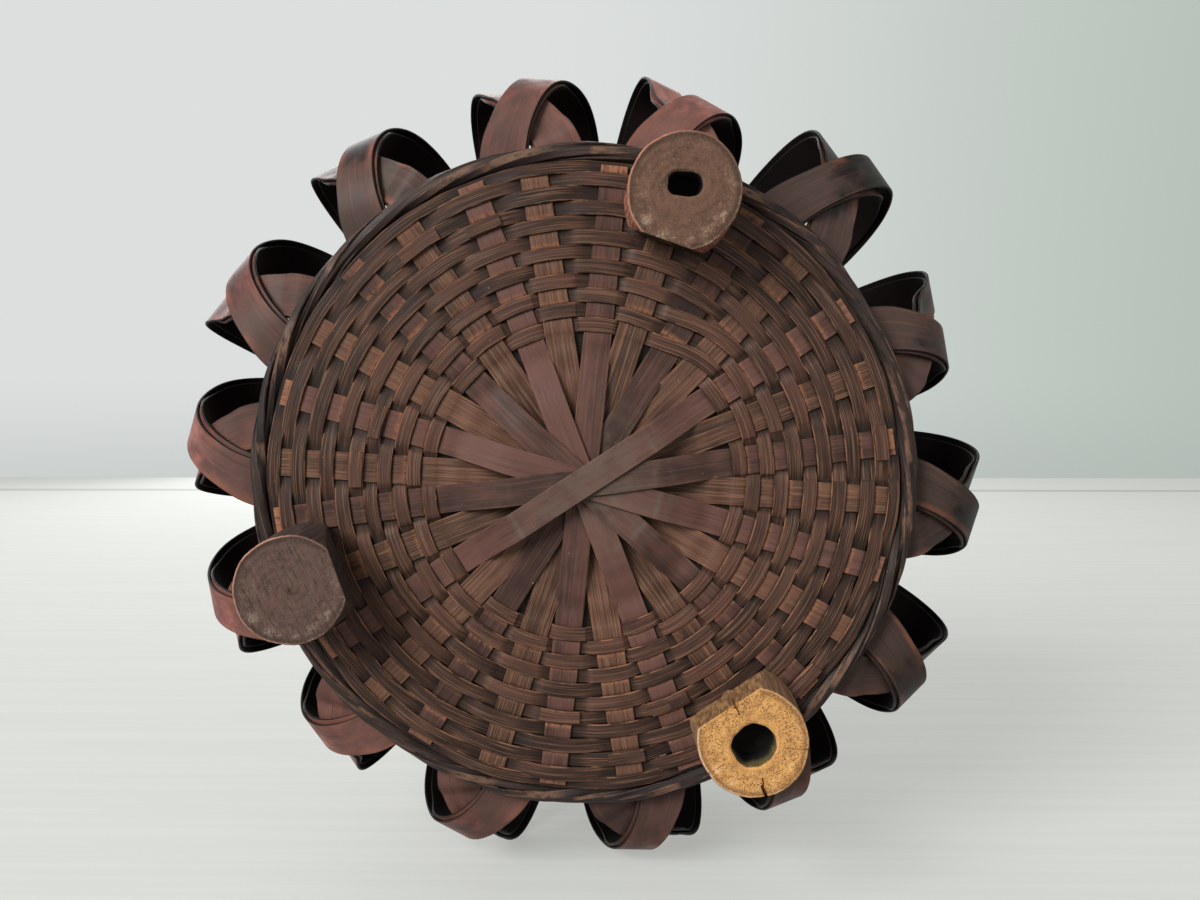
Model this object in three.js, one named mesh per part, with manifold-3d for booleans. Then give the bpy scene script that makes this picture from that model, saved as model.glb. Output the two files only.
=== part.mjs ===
// A bamboo flower basket with looped strips round its side, a bent handle and a lift-out water tube.
// Millimetres, +Z up. The feet stand on z = 0 and the basket's axis is the Z axis.

import * as THREE from 'three';
import { mergeVertices } from 'three/addons/utils/BufferGeometryUtils.js';
import Module from 'manifold-3d';

const wasm = await Module();
wasm.setup();

const RAD = Math.PI / 180;

// Gap left between pieces that touch, and between a pin and its hole
const touch = 0.3;
const pinClearance = 0.3;

// Feet, cut from bamboo root
const footHeight = 24;
const footRadius = 17.6;
const footInset = 7.6; // a foot's axis lies this far inside the base's outside radius
const footOval = 0.02; // how far a foot is from round
const footShoulder = 0.6; // extra radius at a foot's upper end
const footPegInset = 8; // a peg sits this far inside its foot's axis
const footPegRadius = 3;
const footPegDepth = 7.5;
const footPegHeadRadius = 5.5;
const footPegHeadHeight = 2.5;
const footBoreDepth = 12;
const footBoreSquareness = 2.6; // 2 is an ellipse, more is squarer
// How much is pared off the side that faces the basket's axis, at the sawn end and at the upper end
const footOnePareLow = 1.6;
const footOnePareHigh = 1.2;
const footTwoPareLow = 1.8;
const footTwoPareHigh = 1;
const footThreePareLow = 4.4;
const footThreePareHigh = 0.8;
// Half length and half breadth of the root's hollow
const footOneBoreLong = 5.8;
const footOneBoreShort = 4;
const footThreeBoreLong = 7.6;
const footThreeBoreShort = 7;

// Woven base and wall
const baseRadius = 103.2; // outside radius of the wall where it meets the base
const baseThickness = 3;
const wallThickness = 3;
const wallHeight = 108;
const rimRadius = 114; // outside radius of the wall at the rim
const borderSize = 7; // twisted border round the base
const rimBorderSize = 8;
const footRing = baseRadius - footInset; // from the basket's axis to a foot's axis

// Crossing strips on the underside of the base, skin side out
const starReach = 52; // where they enter the weave
const starHump = 23; // inside this radius the strips lie on each other
const starFoot = 45; // outside this radius they lie flat on the base
const starWidth = 9.5;
const starThickness = 0.7;
const starLayerGap = 0.3;
// Turn of each crossing strip, from the one laid first to the one nearest the floor
const starTurns = [-57.6, -84.2, -110.7, -137.3, -163.4, -187.4, -213.1];

// Looped strips, in pairs. Each loop is two layers of strip.
const loopPairs = 14;
const loopPhase = -21.4; // turn of the first pair
const loopWidth = 13.6;
const loopThickness = 2;
const loopReach = 141.5; // outside radius of a mean outer loop
const loopHeight = 62; // from the lower ends to the upper ends
const loopCrossGap = 1.35; // between the two loops where they cross
const lowerEndGap = 11; // between the lower ends of one pair
const neighbourGap = 4.3; // between the upper ends of two pairs
const loopLean = 1; // how far the upper ends stand to the inner loop's side
const slantPower = 1.8; // above 1, a loop makes most of its sideways way early
const loopRoll = 10; // degrees that a strip leans over at the middle of its loop
const rollSharpness = 5; // higher keeps the lean closer to the middle
// Shares of a loop's length, from its lower end
const straightShare = 0.05; // it leaves the wall squarely over about this share
const crossFrom = 0.08; // the inner loop starts to slip inside the outer one
const crossEase = 0.065; // and takes this share to get there
const swellFrom = 0.42; // it starts to swell out
const swellEase = 0.22;
const fadeFrom = 0.66; // and starts to come back to the outer loop's profile
const fadeEase = 0.26;
// What each hand-bent pair has over the mean reach, and over an even turn
const reachTrim = [-6.2, 4, -5.1, -2.9, -1, 1.2, 0.3, 1.2, -5.2, -1.4, -2, -0.4, 2.1, -1.2];
const turnTrim = [-0.2, -1.1, -0.4, 0, -1.1, -1, 0.7, 1, 1.8, 1.5, -0.3, 1.2, 2.3, 1.2];
// How far the inner loop of each pair swells out beyond the crossing
const innerSwell = [8.5, 1.5, 7.6, 1.5, 4.5, 7.5, 1.5, 1.6, 6.4, 1.5, 4, 1.8, 4.5, 4.2];
const hoopHeight = 4;
const hoopDepth = 3;
const hoopGap = 0.5; // between a hoop and the loops' legs
const hoopClearance = 3 * touch; // a loop stays straight until it is this far past the hoops

// Rim hoops
const rimHoopHeight = 9;
const rimHoopThickness = 3;
const rimHoopDrop = 2; // below the wall's top edge

// Handle of three bent rods
const rodDiameter = 7;
const handleTop = 320;
const handleSquareness = 2.3; // 2 is half an ellipse, more is squarer
const windingWall = 1.5;
const windingGap = 0.5; // left round the rods, which bend in short straight stretches
const windingLength = 26;
const windingShoulder = 0.3; // the side windings' place, as a share of the handle's length
const windingCrown = 0.5;
const rimPinRadius = 1.6;
const rimPinHeadRadius = 3.2;
const rimPinHeadHeight = 2;

// Lift-out water tube
const tubeRadius = 31;
const tubeBoreRadius = 26;
const tubeHeight = 112;
const tubeFloor = 6;
const tubeChamfer = 1;

// Fineness of the curved surfaces
const roundSteps = 56;
const ringSides = 8;
const tubeSteps = 36;
const windingSteps = 5;
const windingCurveSegments = 6;
const cutOverrun = 1; // a cutter reaches this far past the face that it opens
const loopSteps = 20;
const rodSides = 7;
const rodSteps = 50;
const footSides = 30;
const pegSides = 14;

// Heights that follow from the sizes above
const baseBottom = footHeight + touch;
const baseTop = baseBottom + baseThickness;
const wallBottom = baseTop + touch;
const wallTop = wallBottom + wallHeight;
const borderTop = baseBottom + borderSize;
const lowerEndHeight = borderTop + touch + loopThickness / 2;
const upperEndHeight = lowerEndHeight + loopHeight;

// Outside radius of the leaning wall at height z
const wallOutside = (z) => baseRadius + ((rimRadius - baseRadius) * (z - wallBottom)) / wallHeight;
const wallInside = (z) => wallOutside(z) - wallThickness;

// A foot's turn, what is pared off it and its hollow
const footPlaces = [
  {
    name: 'foot_1',
    turn: -70.9,
    pareLow: footOnePareLow,
    pareHigh: footOnePareHigh,
    colour: 0x5c4a3c,
    bore: { long: footOneBoreLong, short: footOneBoreShort, turn: 10 },
  },
  {
    name: 'foot_2',
    turn: 160.8,
    pareLow: footTwoPareLow,
    pareHigh: footTwoPareHigh,
    colour: 0x564a42,
    bore: null,
  },
  {
    name: 'foot_3',
    turn: 55.9,
    pareLow: footThreePareLow,
    pareHigh: footThreePareHigh,
    colour: 0xb98a50,
    bore: { long: footThreeBoreLong, short: footThreeBoreShort, turn: -40 },
  },
];

const looks = {
  weave: { color: 0x5f4b3e, roughness: 0.72, metalness: 0 },
  border: { color: 0x54443b, roughness: 0.6, metalness: 0 },
  strip: { color: 0x6e4d49, roughness: 0.5, metalness: 0 },
  loop: { color: 0x7a4a45, roughness: 0.32, metalness: 0 },
  hoop: { color: 0x6a4538, roughness: 0.45, metalness: 0 },
  rod: { color: 0x5a3a30, roughness: 0.35, metalness: 0 },
  winding: { color: 0x3f2f28, roughness: 0.55, metalness: 0 },
  peg: { color: 0x8a6440, roughness: 0.6, metalness: 0 },
  tube: { color: 0x8f7350, roughness: 0.45, metalness: 0 },
};

const basket = new THREE.Group();

function addPiece(name, geometry, look) {
  const piece = new THREE.Mesh(geometry, new THREE.MeshStandardMaterial(look));
  piece.name = name;
  basket.add(piece);
  return piece;
}

// A closed geometry with shared corners, holding positions only
function bare(geometry) {
  const copy = geometry.clone();
  for (const extra of ['normal', 'uv']) copy.deleteAttribute(extra);
  return mergeVertices(copy, 1e-4);
}

function toSolid(geometry) {
  const closed = bare(geometry);
  return new wasm.Manifold(new wasm.Mesh({
    numProp: 3,
    vertProperties: new Float32Array(closed.attributes.position.array),
    triVerts: new Uint32Array(closed.index.array),
  }));
}

function toGeometry(solid) {
  const mesh = solid.getMesh();
  const geometry = new THREE.BufferGeometry();
  geometry.setAttribute('position', new THREE.BufferAttribute(new Float32Array(mesh.vertProperties), 3));
  geometry.setIndex([...mesh.triVerts]);
  geometry.computeVertexNormals();
  return geometry;
}

function cutFrom(geometry, cutters) {
  let solid = toSolid(geometry);
  for (const cutter of cutters) solid = solid.subtract(toSolid(cutter));
  return toGeometry(solid);
}

// Closed body through equal rings of points, with a face over each end
function loft(rings) {
  const sides = rings[0].length;
  const positions = rings.flat().flatMap((p) => [p.x, p.y, p.z]);
  const faces = [];
  for (let i = 0; i < rings.length - 1; i += 1) {
    const here = i * sides;
    const next = here + sides;
    for (let j = 0; j < sides; j += 1) {
      const k = (j + 1) % sides;
      faces.push(here + j, here + k, next + k, here + j, next + k, next + j);
    }
  }
  const sumOf = (points) => points.reduce((sum, p) => sum.add(p), new THREE.Vector3());
  const middleOf = (points) => sumOf(points).divideScalar(sides);
  const first = positions.length / 3;
  const last = (rings.length - 1) * sides;
  for (const p of [middleOf(rings[0]), middleOf(rings[rings.length - 1])]) positions.push(p.x, p.y, p.z);
  for (let j = 0; j < sides; j += 1) {
    const k = (j + 1) % sides;
    faces.push(first, k, j, first + 1, last + j, last + k);
  }
  const geometry = new THREE.BufferGeometry();
  geometry.setAttribute('position', new THREE.Float32BufferAttribute(positions, 3));
  geometry.setIndex(faces);
  geometry.computeVertexNormals();
  return geometry;
}

// Ring round the Z axis from an outline of [radius, height] points, listed anticlockwise
function ring(outline, steps = roundSteps) {
  const points = [...outline, outline[0]].map(([r, z]) => new THREE.Vector2(r, z));
  const geometry = new THREE.LatheGeometry(points, steps);
  geometry.rotateX(Math.PI / 2); // the lathe turns round Y, the basket round Z
  return geometry;
}

const bandRing = (rIn, rOut, zLow, zHigh) => ring([[rIn, zLow], [rOut, zLow], [rOut, zHigh], [rIn, zHigh]]);

function roundRing(radius, height, size) {
  const outline = [];
  for (let i = 0; i < ringSides; i += 1) {
    const a = ((i + 0.5) / ringSides) * 2 * Math.PI;
    const half = size / 2 / Math.cos(Math.PI / ringSides);
    outline.push([radius + half * Math.cos(a), height + half * Math.sin(a)]);
  }
  return ring(outline);
}

// Round pin along Z between two heights, with a head at its upper end where one is given
function pin(radius, zLow, zHigh, head = null) {
  const outline = [[0, zLow], [radius, zLow], [radius, zHigh]];
  if (head) {
    const headTop = zHigh + head.height;
    outline.push([head.radius, zHigh], [head.radius, headTop], [0, headTop]);
  } else {
    outline.push([0, zHigh]);
  }
  const points = outline.map(([r, z]) => new THREE.Vector2(r, z));
  const geometry = new THREE.LatheGeometry(points, pegSides);
  geometry.rotateX(Math.PI / 2);
  return geometry;
}

const polar = (radius, degrees) => new THREE.Vector2(
  radius * Math.cos(degrees * RAD),
  radius * Math.sin(degrees * RAD),
);

// Feet

function footOutline(place, radius, pare, z) {
  const inward = (place.turn + 180) * RAD;
  const centre = polar(footRing, place.turn);
  const points = [];
  for (let i = 0; i < footSides; i += 1) {
    const a = (i / footSides) * 2 * Math.PI;
    const round = radius * (1 + footOval * Math.cos(2 * (a - inward)));
    const facing = Math.cos(a - inward);
    const cut = facing > 0 ? (radius - pare) / facing : Infinity;
    const r = Math.min(round, cut);
    points.push(new THREE.Vector3(centre.x + r * Math.cos(a), centre.y + r * Math.sin(a), z));
  }
  return points;
}

function footBore(place) {
  const { long, short, turn } = place.bore;
  const centre = polar(footRing, place.turn);
  const slice = (z) => {
    const points = [];
    for (let i = 0; i < footSides; i += 1) {
      const a = (i / footSides) * 2 * Math.PI;
      const c = Math.abs(Math.cos(a)) / long;
      const s = Math.abs(Math.sin(a)) / short;
      const r = (c ** footBoreSquareness + s ** footBoreSquareness) ** (-1 / footBoreSquareness);
      const p = polar(r, a / RAD + turn);
      points.push(new THREE.Vector3(centre.x + p.x, centre.y + p.y, z));
    }
    return points;
  };
  return loft([slice(-cutOverrun), slice(footBoreDepth)]);
}

const pegPlace = (place) => polar(footRing - footPegInset, place.turn);

function pegHole(place, zLow, zHigh) {
  const at = pegPlace(place);
  return pin(footPegRadius + pinClearance, zLow, zHigh).translate(at.x, at.y, 0);
}

function makeFoot(place) {
  const body = loft([
    footOutline(place, footRadius, place.pareLow, 0),
    footOutline(place, footRadius + footShoulder, place.pareHigh + footShoulder, footHeight),
  ]);
  const cutters = [pegHole(place, footHeight - footPegDepth - touch, footHeight + cutOverrun)];
  if (place.bore) cutters.push(footBore(place));
  addPiece(place.name, cutFrom(body, cutters), { color: place.colour, roughness: 0.85, metalness: 0 });

  const at = pegPlace(place);
  const head = { radius: footPegHeadRadius, height: footPegHeadHeight };
  const peg = pin(footPegRadius, footHeight - footPegDepth, baseTop + touch, head);
  addPiece(`${place.name}_peg`, peg.translate(at.x, at.y, 0), looks.peg);
}

// Base, wall, border and hoops

const baseDisc = ring([[0, baseBottom], [baseRadius, baseBottom], [baseRadius, baseTop], [0, baseTop]]);
const pegHoles = footPlaces.map((place) => (
  pegHole(place, baseBottom - cutOverrun, baseTop + cutOverrun)));

const borderRadius = baseRadius + touch + borderSize / 2;

const hoopAt = (zLow) => {
  const inner = wallOutside(zLow + hoopHeight) + touch;
  return bandRing(inner, inner + hoopDepth, zLow, zLow + hoopHeight);
};
const rimHoopTop = wallTop - rimHoopDrop;
const rimHoopBottom = rimHoopTop - rimHoopHeight;
const rimHoopMiddle = (rimHoopTop + rimHoopBottom) / 2;

// A hoop that leans with the wall, at a given distance from the wall's outside
function leaningHoop(inFromWall, outFromWall) {
  return ring([
    [wallOutside(rimHoopBottom) + inFromWall, rimHoopBottom],
    [wallOutside(rimHoopBottom) + outFromWall, rimHoopBottom],
    [wallOutside(rimHoopTop) + outFromWall, rimHoopTop],
    [wallOutside(rimHoopTop) + inFromWall, rimHoopTop],
  ]);
}

// Crossing strips of the base, each a bowed strip that rides over the ones laid before it
function crossingStrip(layer) {
  const rise = layer * (starThickness + starLayerGap);
  const stations = [-starReach, -starFoot, -starHump, 0, starHump, starFoot, starReach];
  const rings = stations.map((x) => {
    const lift = Math.abs(x) <= starHump ? rise : 0;
    const top = baseBottom - touch - lift;
    return [
      new THREE.Vector3(x, starWidth / 2, top),
      new THREE.Vector3(x, -starWidth / 2, top),
      new THREE.Vector3(x, -starWidth / 2, top - starThickness),
      new THREE.Vector3(x, starWidth / 2, top - starThickness),
    ];
  });
  return loft(rings).rotateZ(starTurns[layer] * RAD);
}

// Looped strips

// Eases from 0 to 1 and stays there
function eased(value) {
  const x = Math.min(1, Math.max(0, value));
  return x * x * (3 - 2 * x);
}

// Side profile of a loop: straight out past the hoops, round in half an ellipse, straight back to the wall
function loopProfile(t, reach) {
  const high = loopHeight / 2;
  const startRadius = wallOutside(lowerEndHeight + loopThickness / 2) + touch;
  const endRadius = wallOutside(upperEndHeight + loopThickness / 2) + touch;
  const bendStart = wallOutside(upperEndHeight) + hoopDepth + hoopClearance;
  const wide = reach - loopThickness / 2 - bendStart;
  const legOut = bendStart - startRadius;
  const legBack = bendStart - endRadius;
  const arc = (Math.PI * (wide + high)) / 2;
  const s = t * (legOut + arc + legBack);
  if (s < legOut) return { r: startRadius + s, z: lowerEndHeight, tilt: 0 };
  if (s > legOut + arc) return { r: bendStart - (s - legOut - arc), z: upperEndHeight, tilt: Math.PI };
  const a = (Math.PI * (s - legOut)) / arc;
  return {
    r: bendStart + wide * Math.sin(a),
    z: lowerEndHeight + high * (1 - Math.cos(a)),
    tilt: Math.atan2(high * Math.sin(a), wide * Math.cos(a)),
  };
}

const halfPitch = Math.PI / loopPairs;
const lowerRadius = baseRadius + borderSize;
const upperRadius = wallOutside(upperEndHeight);
const lowerShift = (loopWidth + lowerEndGap) / 2 / lowerRadius;
const upperShift = halfPitch - (loopWidth + neighbourGap) / 2 / upperRadius;
const leanTurn = loopLean / upperRadius;

// Share of its sideways way that a loop has made at t
function sweepAt(t) {
  const u = ((1 + straightShare) * t * t) / (t + straightShare);
  return 1 - (1 - u) ** slantPower;
}

const trimOf = (list, pair) => list[pair % list.length];

// How far the inner loop lies inside the outer one's profile at t. Below zero it lies outside.
function insetAt(pair, t) {
  const inside = (loopThickness + loopCrossGap) * eased((t - crossFrom) / crossEase);
  const outside = trimOf(innerSwell, pair) * (1 - eased((t - fadeFrom) / fadeEase));
  const change = eased((t - swellFrom) / swellEase);
  return inside * (1 - change) - outside * change;
}

// Middle of a strip at t. Side is +1 for the outer loop of a pair and -1 for the inner one,
// which slips inside the other where they cross and swells out on the far side.
function loopPoint(pair, side, t) {
  const { r, z, tilt } = loopProfile(t, loopReach + trimOf(reachTrim, pair));
  const inset = side > 0 ? 0 : insetAt(pair, t);
  const turn = loopPhase - (360 / loopPairs) * pair + trimOf(turnTrim, pair);
  const sweep = sweepAt(t);
  const shift = -lowerShift + (lowerShift + upperShift) * sweep;
  const angle = turn * RAD + side * shift - leanTurn * sweep;
  const radius = r - inset * Math.sin(tilt);
  return new THREE.Vector3(radius * Math.cos(angle), radius * Math.sin(angle), z + inset * Math.cos(tilt));
}

function makeLoop(pair, side) {
  const rings = [];
  const step = 1e-3;
  for (let i = 0; i <= loopSteps; i += 1) {
    const t = i / loopSteps;
    const here = loopPoint(pair, side, t);
    const before = loopPoint(pair, side, Math.max(0, t - step));
    const along = loopPoint(pair, side, Math.min(1, t + step)).sub(before).normalize();
    const { tilt } = loopProfile(t, loopReach + trimOf(reachTrim, pair));
    const angle = Math.atan2(here.y, here.x);
    const outward = new THREE.Vector3(
      Math.sin(tilt) * Math.cos(angle),
      Math.sin(tilt) * Math.sin(angle),
      -Math.cos(tilt),
    );
    const roll = loopRoll * RAD * Math.sin(Math.PI * t) ** rollSharpness;
    const level = new THREE.Vector3().crossVectors(outward, along).normalize();
    const across = level.applyAxisAngle(along, roll);
    const proud = new THREE.Vector3().crossVectors(along, across).normalize();
    const corner = (u, v) => here.clone()
      .addScaledVector(across, (u * loopWidth) / 2)
      .addScaledVector(proud, (v * loopThickness) / 2);
    rings.push([corner(-1, -1), corner(1, -1), corner(1, 1), corner(-1, 1)]);
  }
  return loft(rings);
}

// Handle

const rodRadius = rodDiameter / 2;
const rodPitch = rodDiameter + touch;
// Distance along X at which the side rods, which stand off the X axis, still clear a round wall
const clearOf = (roundInside) => Math.sqrt((roundInside - touch - rodRadius) ** 2 - rodPitch ** 2);
const rimInside = clearOf(wallInside(rimHoopBottom) - touch - rimHoopThickness);
const footInside = Math.min(clearOf(wallInside(wallBottom)), rimInside);

function handleCurve(y) {
  const points = [];
  const archHeight = handleTop - rodRadius - rimHoopTop;
  const power = 2 / handleSquareness;
  const archSteps = 20;
  for (let i = 0; i <= archSteps; i += 1) {
    const a = (i / archSteps) * Math.PI;
    const x = -Math.sign(Math.cos(a)) * rimInside * Math.abs(Math.cos(a)) ** power;
    points.push(new THREE.Vector3(x, y, rimHoopTop + archHeight * Math.sin(a) ** power));
  }
  const low = new THREE.Vector3(-footInside, y, baseTop + touch);
  const middle = new THREE.Vector3(-(footInside + rimInside) / 2, y, (baseTop + rimHoopTop) / 2);
  const mirrored = (p) => new THREE.Vector3(-p.x, p.y, p.z);
  return new THREE.CatmullRomCurve3([low, middle, ...points, mirrored(middle), mirrored(low)]);
}

// The stretch of a curve between two places along it, as a curve
class Stretch extends THREE.Curve {
  constructor(whole, from, to) {
    super();
    Object.assign(this, { whole, from, to });
  }

  getPoint(t, target = new THREE.Vector3()) {
    return target.copy(this.whole.getPointAt(this.from + (this.to - this.from) * t));
  }
}

function rodSection() {
  const shape = new THREE.Shape();
  for (let i = 0; i < rodSides; i += 1) {
    const p = polar(rodRadius, (360 * i) / rodSides);
    if (i === 0) shape.moveTo(p.x, p.y);
    else shape.lineTo(p.x, p.y);
  }
  return shape;
}

// Outline of a winding round rods that lie side by side
function windingOutline(target, halfWide, halfThick) {
  const straight = halfWide - halfThick;
  target.absarc(straight, 0, halfThick, -Math.PI / 2, Math.PI / 2, false);
  target.absarc(-straight, 0, halfThick, Math.PI / 2, 1.5 * Math.PI, false);
  target.closePath();
  return target;
}

const windingHalfWide = rodPitch + rodRadius + windingGap;
const windingHalfThick = rodRadius + windingGap;

function makeWinding(place) {
  const curve = handleCurve(0);
  const half = windingLength / curve.getLength() / 2;
  const outHalfWide = windingHalfWide + windingWall;
  const shape = windingOutline(new THREE.Shape(), outHalfWide, windingHalfThick + windingWall);
  shape.holes.push(windingOutline(new THREE.Path(), windingHalfWide, windingHalfThick));
  return new THREE.ExtrudeGeometry(shape, {
    steps: windingSteps,
    curveSegments: windingCurveSegments,
    extrudePath: new Stretch(curve, place - half, place + half),
  });
}

// A pin through the rim hoops, the wall and the middle rod. End is -1 or +1 along X.
const rimPinHeadAt = wallOutside(rimHoopTop) + touch + rimHoopThickness + touch;
const alongX = (geometry, end) => geometry.rotateY(end * Math.PI / 2).translate(0, 0, rimHoopMiddle);

function rimPin(end) {
  const head = { radius: rimPinHeadRadius, height: rimPinHeadHeight };
  return alongX(pin(rimPinRadius, rimInside - rodRadius, rimPinHeadAt, head), end);
}

const rimPinHoles = [-1, 1].map((end) => (
  alongX(pin(rimPinRadius + pinClearance, rimInside - rodDiameter, rimPinHeadAt + cutOverrun), end)));

// Assembly, from the floor up

footPlaces.forEach(makeFoot);
starTurns.forEach((turn, layer) => addPiece(`base_strip_${layer + 1}`, crossingStrip(layer), looks.strip));
addPiece('base_weave', cutFrom(baseDisc, pegHoles), looks.weave);
addPiece('base_border', roundRing(borderRadius, baseBottom + borderSize / 2, borderSize), looks.border);

const wall = ring([
  [wallInside(wallBottom), wallBottom],
  [wallOutside(wallBottom), wallBottom],
  [wallOutside(wallTop), wallTop],
  [wallInside(wallTop), wallTop],
]);
addPiece('wall_weave', cutFrom(wall, rimPinHoles), looks.weave);

addPiece('loop_hoop_lower', hoopAt(lowerEndHeight + loopThickness / 2 + hoopGap), looks.hoop);
addPiece('loop_hoop_middle', hoopAt(upperEndHeight - loopThickness / 2 - hoopGap - hoopHeight), looks.hoop);
addPiece('loop_hoop_upper', hoopAt(upperEndHeight + loopThickness / 2 + hoopGap), looks.hoop);

for (let pair = 0; pair < loopPairs; pair += 1) {
  const number = String(pair + 1).padStart(2, '0');
  addPiece(`loop_outer_${number}`, makeLoop(pair, 1), looks.loop);
  addPiece(`loop_inner_${number}`, makeLoop(pair, -1), looks.loop);
}

const outerHoop = leaningHoop(touch, touch + rimHoopThickness);
const innerHoopOut = -wallThickness - touch;
const innerHoop = leaningHoop(innerHoopOut - rimHoopThickness, innerHoopOut);
addPiece('rim_hoop_outer', cutFrom(outerHoop, rimPinHoles), looks.hoop);
addPiece('rim_hoop_inner', cutFrom(innerHoop, rimPinHoles), looks.hoop);
const rimBorderRadius = rimRadius - wallThickness / 2;
const rimBorderHeight = wallTop + touch + rimBorderSize / 2;
addPiece('rim_border', roundRing(rimBorderRadius, rimBorderHeight, rimBorderSize), looks.border);

[-1, 0, 1].forEach((row, i) => {
  const extrudePath = handleCurve(row * rodPitch);
  const rod = new THREE.ExtrudeGeometry(rodSection(), { steps: rodSteps, extrudePath });
  addPiece(`handle_rod_${i + 1}`, row === 0 ? cutFrom(rod, rimPinHoles) : rod, looks.rod);
});
addPiece('handle_winding_crown', makeWinding(windingCrown), looks.winding);
addPiece('handle_winding_left', makeWinding(windingShoulder), looks.winding);
addPiece('handle_winding_right', makeWinding(1 - windingShoulder), looks.winding);
addPiece('rim_pin_left', rimPin(-1), looks.peg);
addPiece('rim_pin_right', rimPin(1), looks.peg);

// The water tube stands on the base
const tubeBottom = baseTop + touch;
const tubeTop = tubeBottom + tubeHeight;
const waterTube = ring([
  [0, tubeBottom],
  [tubeRadius - tubeChamfer, tubeBottom],
  [tubeRadius, tubeBottom + tubeChamfer],
  [tubeRadius, tubeTop - tubeChamfer],
  [tubeRadius - tubeChamfer, tubeTop],
  [tubeBoreRadius, tubeTop],
  [tubeBoreRadius, tubeBottom + tubeFloor],
  [0, tubeBottom + tubeFloor],
], tubeSteps);
addPiece('water_tube', waterTube, looks.tube);

export default basket;
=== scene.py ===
# %% [markdown]
# A bamboo flower basket, seen from below.
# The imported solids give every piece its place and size. This script dresses them: each strip of the
# weave, each bent loop and each foot is modelled again at its real thickness, with its own finish.

# %% Load the fixed frame
import math
import random

import bpy
import numpy as np
from mathutils import Matrix, Vector


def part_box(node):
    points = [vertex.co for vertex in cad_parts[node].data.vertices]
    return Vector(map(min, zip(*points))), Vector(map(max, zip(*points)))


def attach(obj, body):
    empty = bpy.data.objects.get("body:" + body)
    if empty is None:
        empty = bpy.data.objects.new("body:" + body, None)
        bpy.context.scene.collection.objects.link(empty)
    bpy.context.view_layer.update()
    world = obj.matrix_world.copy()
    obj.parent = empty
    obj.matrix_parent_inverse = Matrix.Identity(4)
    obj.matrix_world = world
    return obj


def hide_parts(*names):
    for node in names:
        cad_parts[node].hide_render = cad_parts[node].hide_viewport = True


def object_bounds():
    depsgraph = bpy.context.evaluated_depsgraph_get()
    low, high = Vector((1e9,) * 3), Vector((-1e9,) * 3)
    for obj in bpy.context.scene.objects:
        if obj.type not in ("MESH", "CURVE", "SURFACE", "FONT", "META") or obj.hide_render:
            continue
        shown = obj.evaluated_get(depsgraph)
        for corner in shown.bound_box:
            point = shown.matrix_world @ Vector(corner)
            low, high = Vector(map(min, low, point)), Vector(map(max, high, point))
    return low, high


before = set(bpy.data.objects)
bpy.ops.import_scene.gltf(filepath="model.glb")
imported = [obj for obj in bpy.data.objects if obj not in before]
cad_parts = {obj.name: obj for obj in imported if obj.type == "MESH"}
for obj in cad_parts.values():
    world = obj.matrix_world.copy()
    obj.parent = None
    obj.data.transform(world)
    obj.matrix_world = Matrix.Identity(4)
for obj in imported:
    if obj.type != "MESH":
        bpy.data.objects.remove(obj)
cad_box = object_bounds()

# %% [markdown]
# Sizes are in millimetres, as a basket maker would write them, and turn into metres only when a mesh
# is made. What the solids already say, such as the height of the base or the radius of the rim, is
# measured on them, so the strips always lie inside the solid that they stand for.

# %% Sizes measured on the frame
MM = 0.001
RAD = math.pi / 180
TURN = 2 * math.pi


def box_mm(node):
    """Lowest and highest corner of a solid, in millimetres"""
    low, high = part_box(node)
    return np.array(low) / MM, np.array(high) / MM


touch = 0.3  # gap that the solids keep between pieces
base_low, base_high = box_mm("base_weave")
wall_low, wall_high = box_mm("wall_weave")
base_bottom, base_top, base_radius = base_low[2], base_high[2], base_high[0]
wall_bottom, wall_top, rim_radius = wall_low[2], wall_high[2], wall_high[0]
wall_thickness = 3.0
wall_lean = math.atan2(rim_radius - base_radius, wall_top - wall_bottom)
foot_height = box_mm("foot_1")[1][2]
print("base from", round(base_bottom, 2), "to", round(base_top, 2), "radius", round(base_radius, 2))
print("wall up to", round(wall_top, 2), "radius", round(rim_radius, 2))


def wall_outside(z):
    """Outside radius of the leaning wall at a height"""
    return base_radius + (rim_radius - base_radius) * (z - wall_bottom) / (wall_top - wall_bottom)


def smooth(x):
    """Ease from 0 to 1"""
    x = np.clip(x, 0, 1)
    return x * x * (3 - 2 * x)


# %% [markdown]
# Colours are written as the hex values that a paint chart gives, and shaders want linear numbers, so
# one function turns them. Another adds a node with its settings and links, which keeps each material
# readable from top to bottom.

# %% Colour and node helpers
MIX_A, MIX_B, MIX_COLOUR = 6, 7, 2  # colour sockets of a Mix node


def linear(code):
    """A hex colour as linear red, green, blue and alpha"""
    parts = [int(code[i:i + 2], 16) / 255 for i in (1, 3, 5)]
    return tuple(p / 12.92 if p <= 0.04045 else ((p + 0.055) / 1.055) ** 2.4 for p in parts) + (1.0,)


def add(tree, kind, sockets=None, **settings):
    """Add a node with its settings; sockets maps inputs to values or to the outputs that feed them"""
    made = tree.nodes.new(kind)
    for name, value in settings.items():
        setattr(made, name, value)
    for key, value in (sockets or {}).items():
        if isinstance(value, bpy.types.NodeSocket):
            tree.links.new(value, made.inputs[key])
        else:
            made.inputs[key].default_value = value
    return made


def new_material(name):
    """An empty material's tree and its shader"""
    material = bpy.data.materials.new(name)
    material.use_nodes = True
    tree = material.node_tree
    tree.nodes.clear()
    shader = add(tree, "ShaderNodeBsdfPrincipled")
    output = add(tree, "ShaderNodeOutputMaterial")
    tree.links.new(shader.outputs[0], output.inputs["Surface"])
    return material, tree, shader


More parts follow.
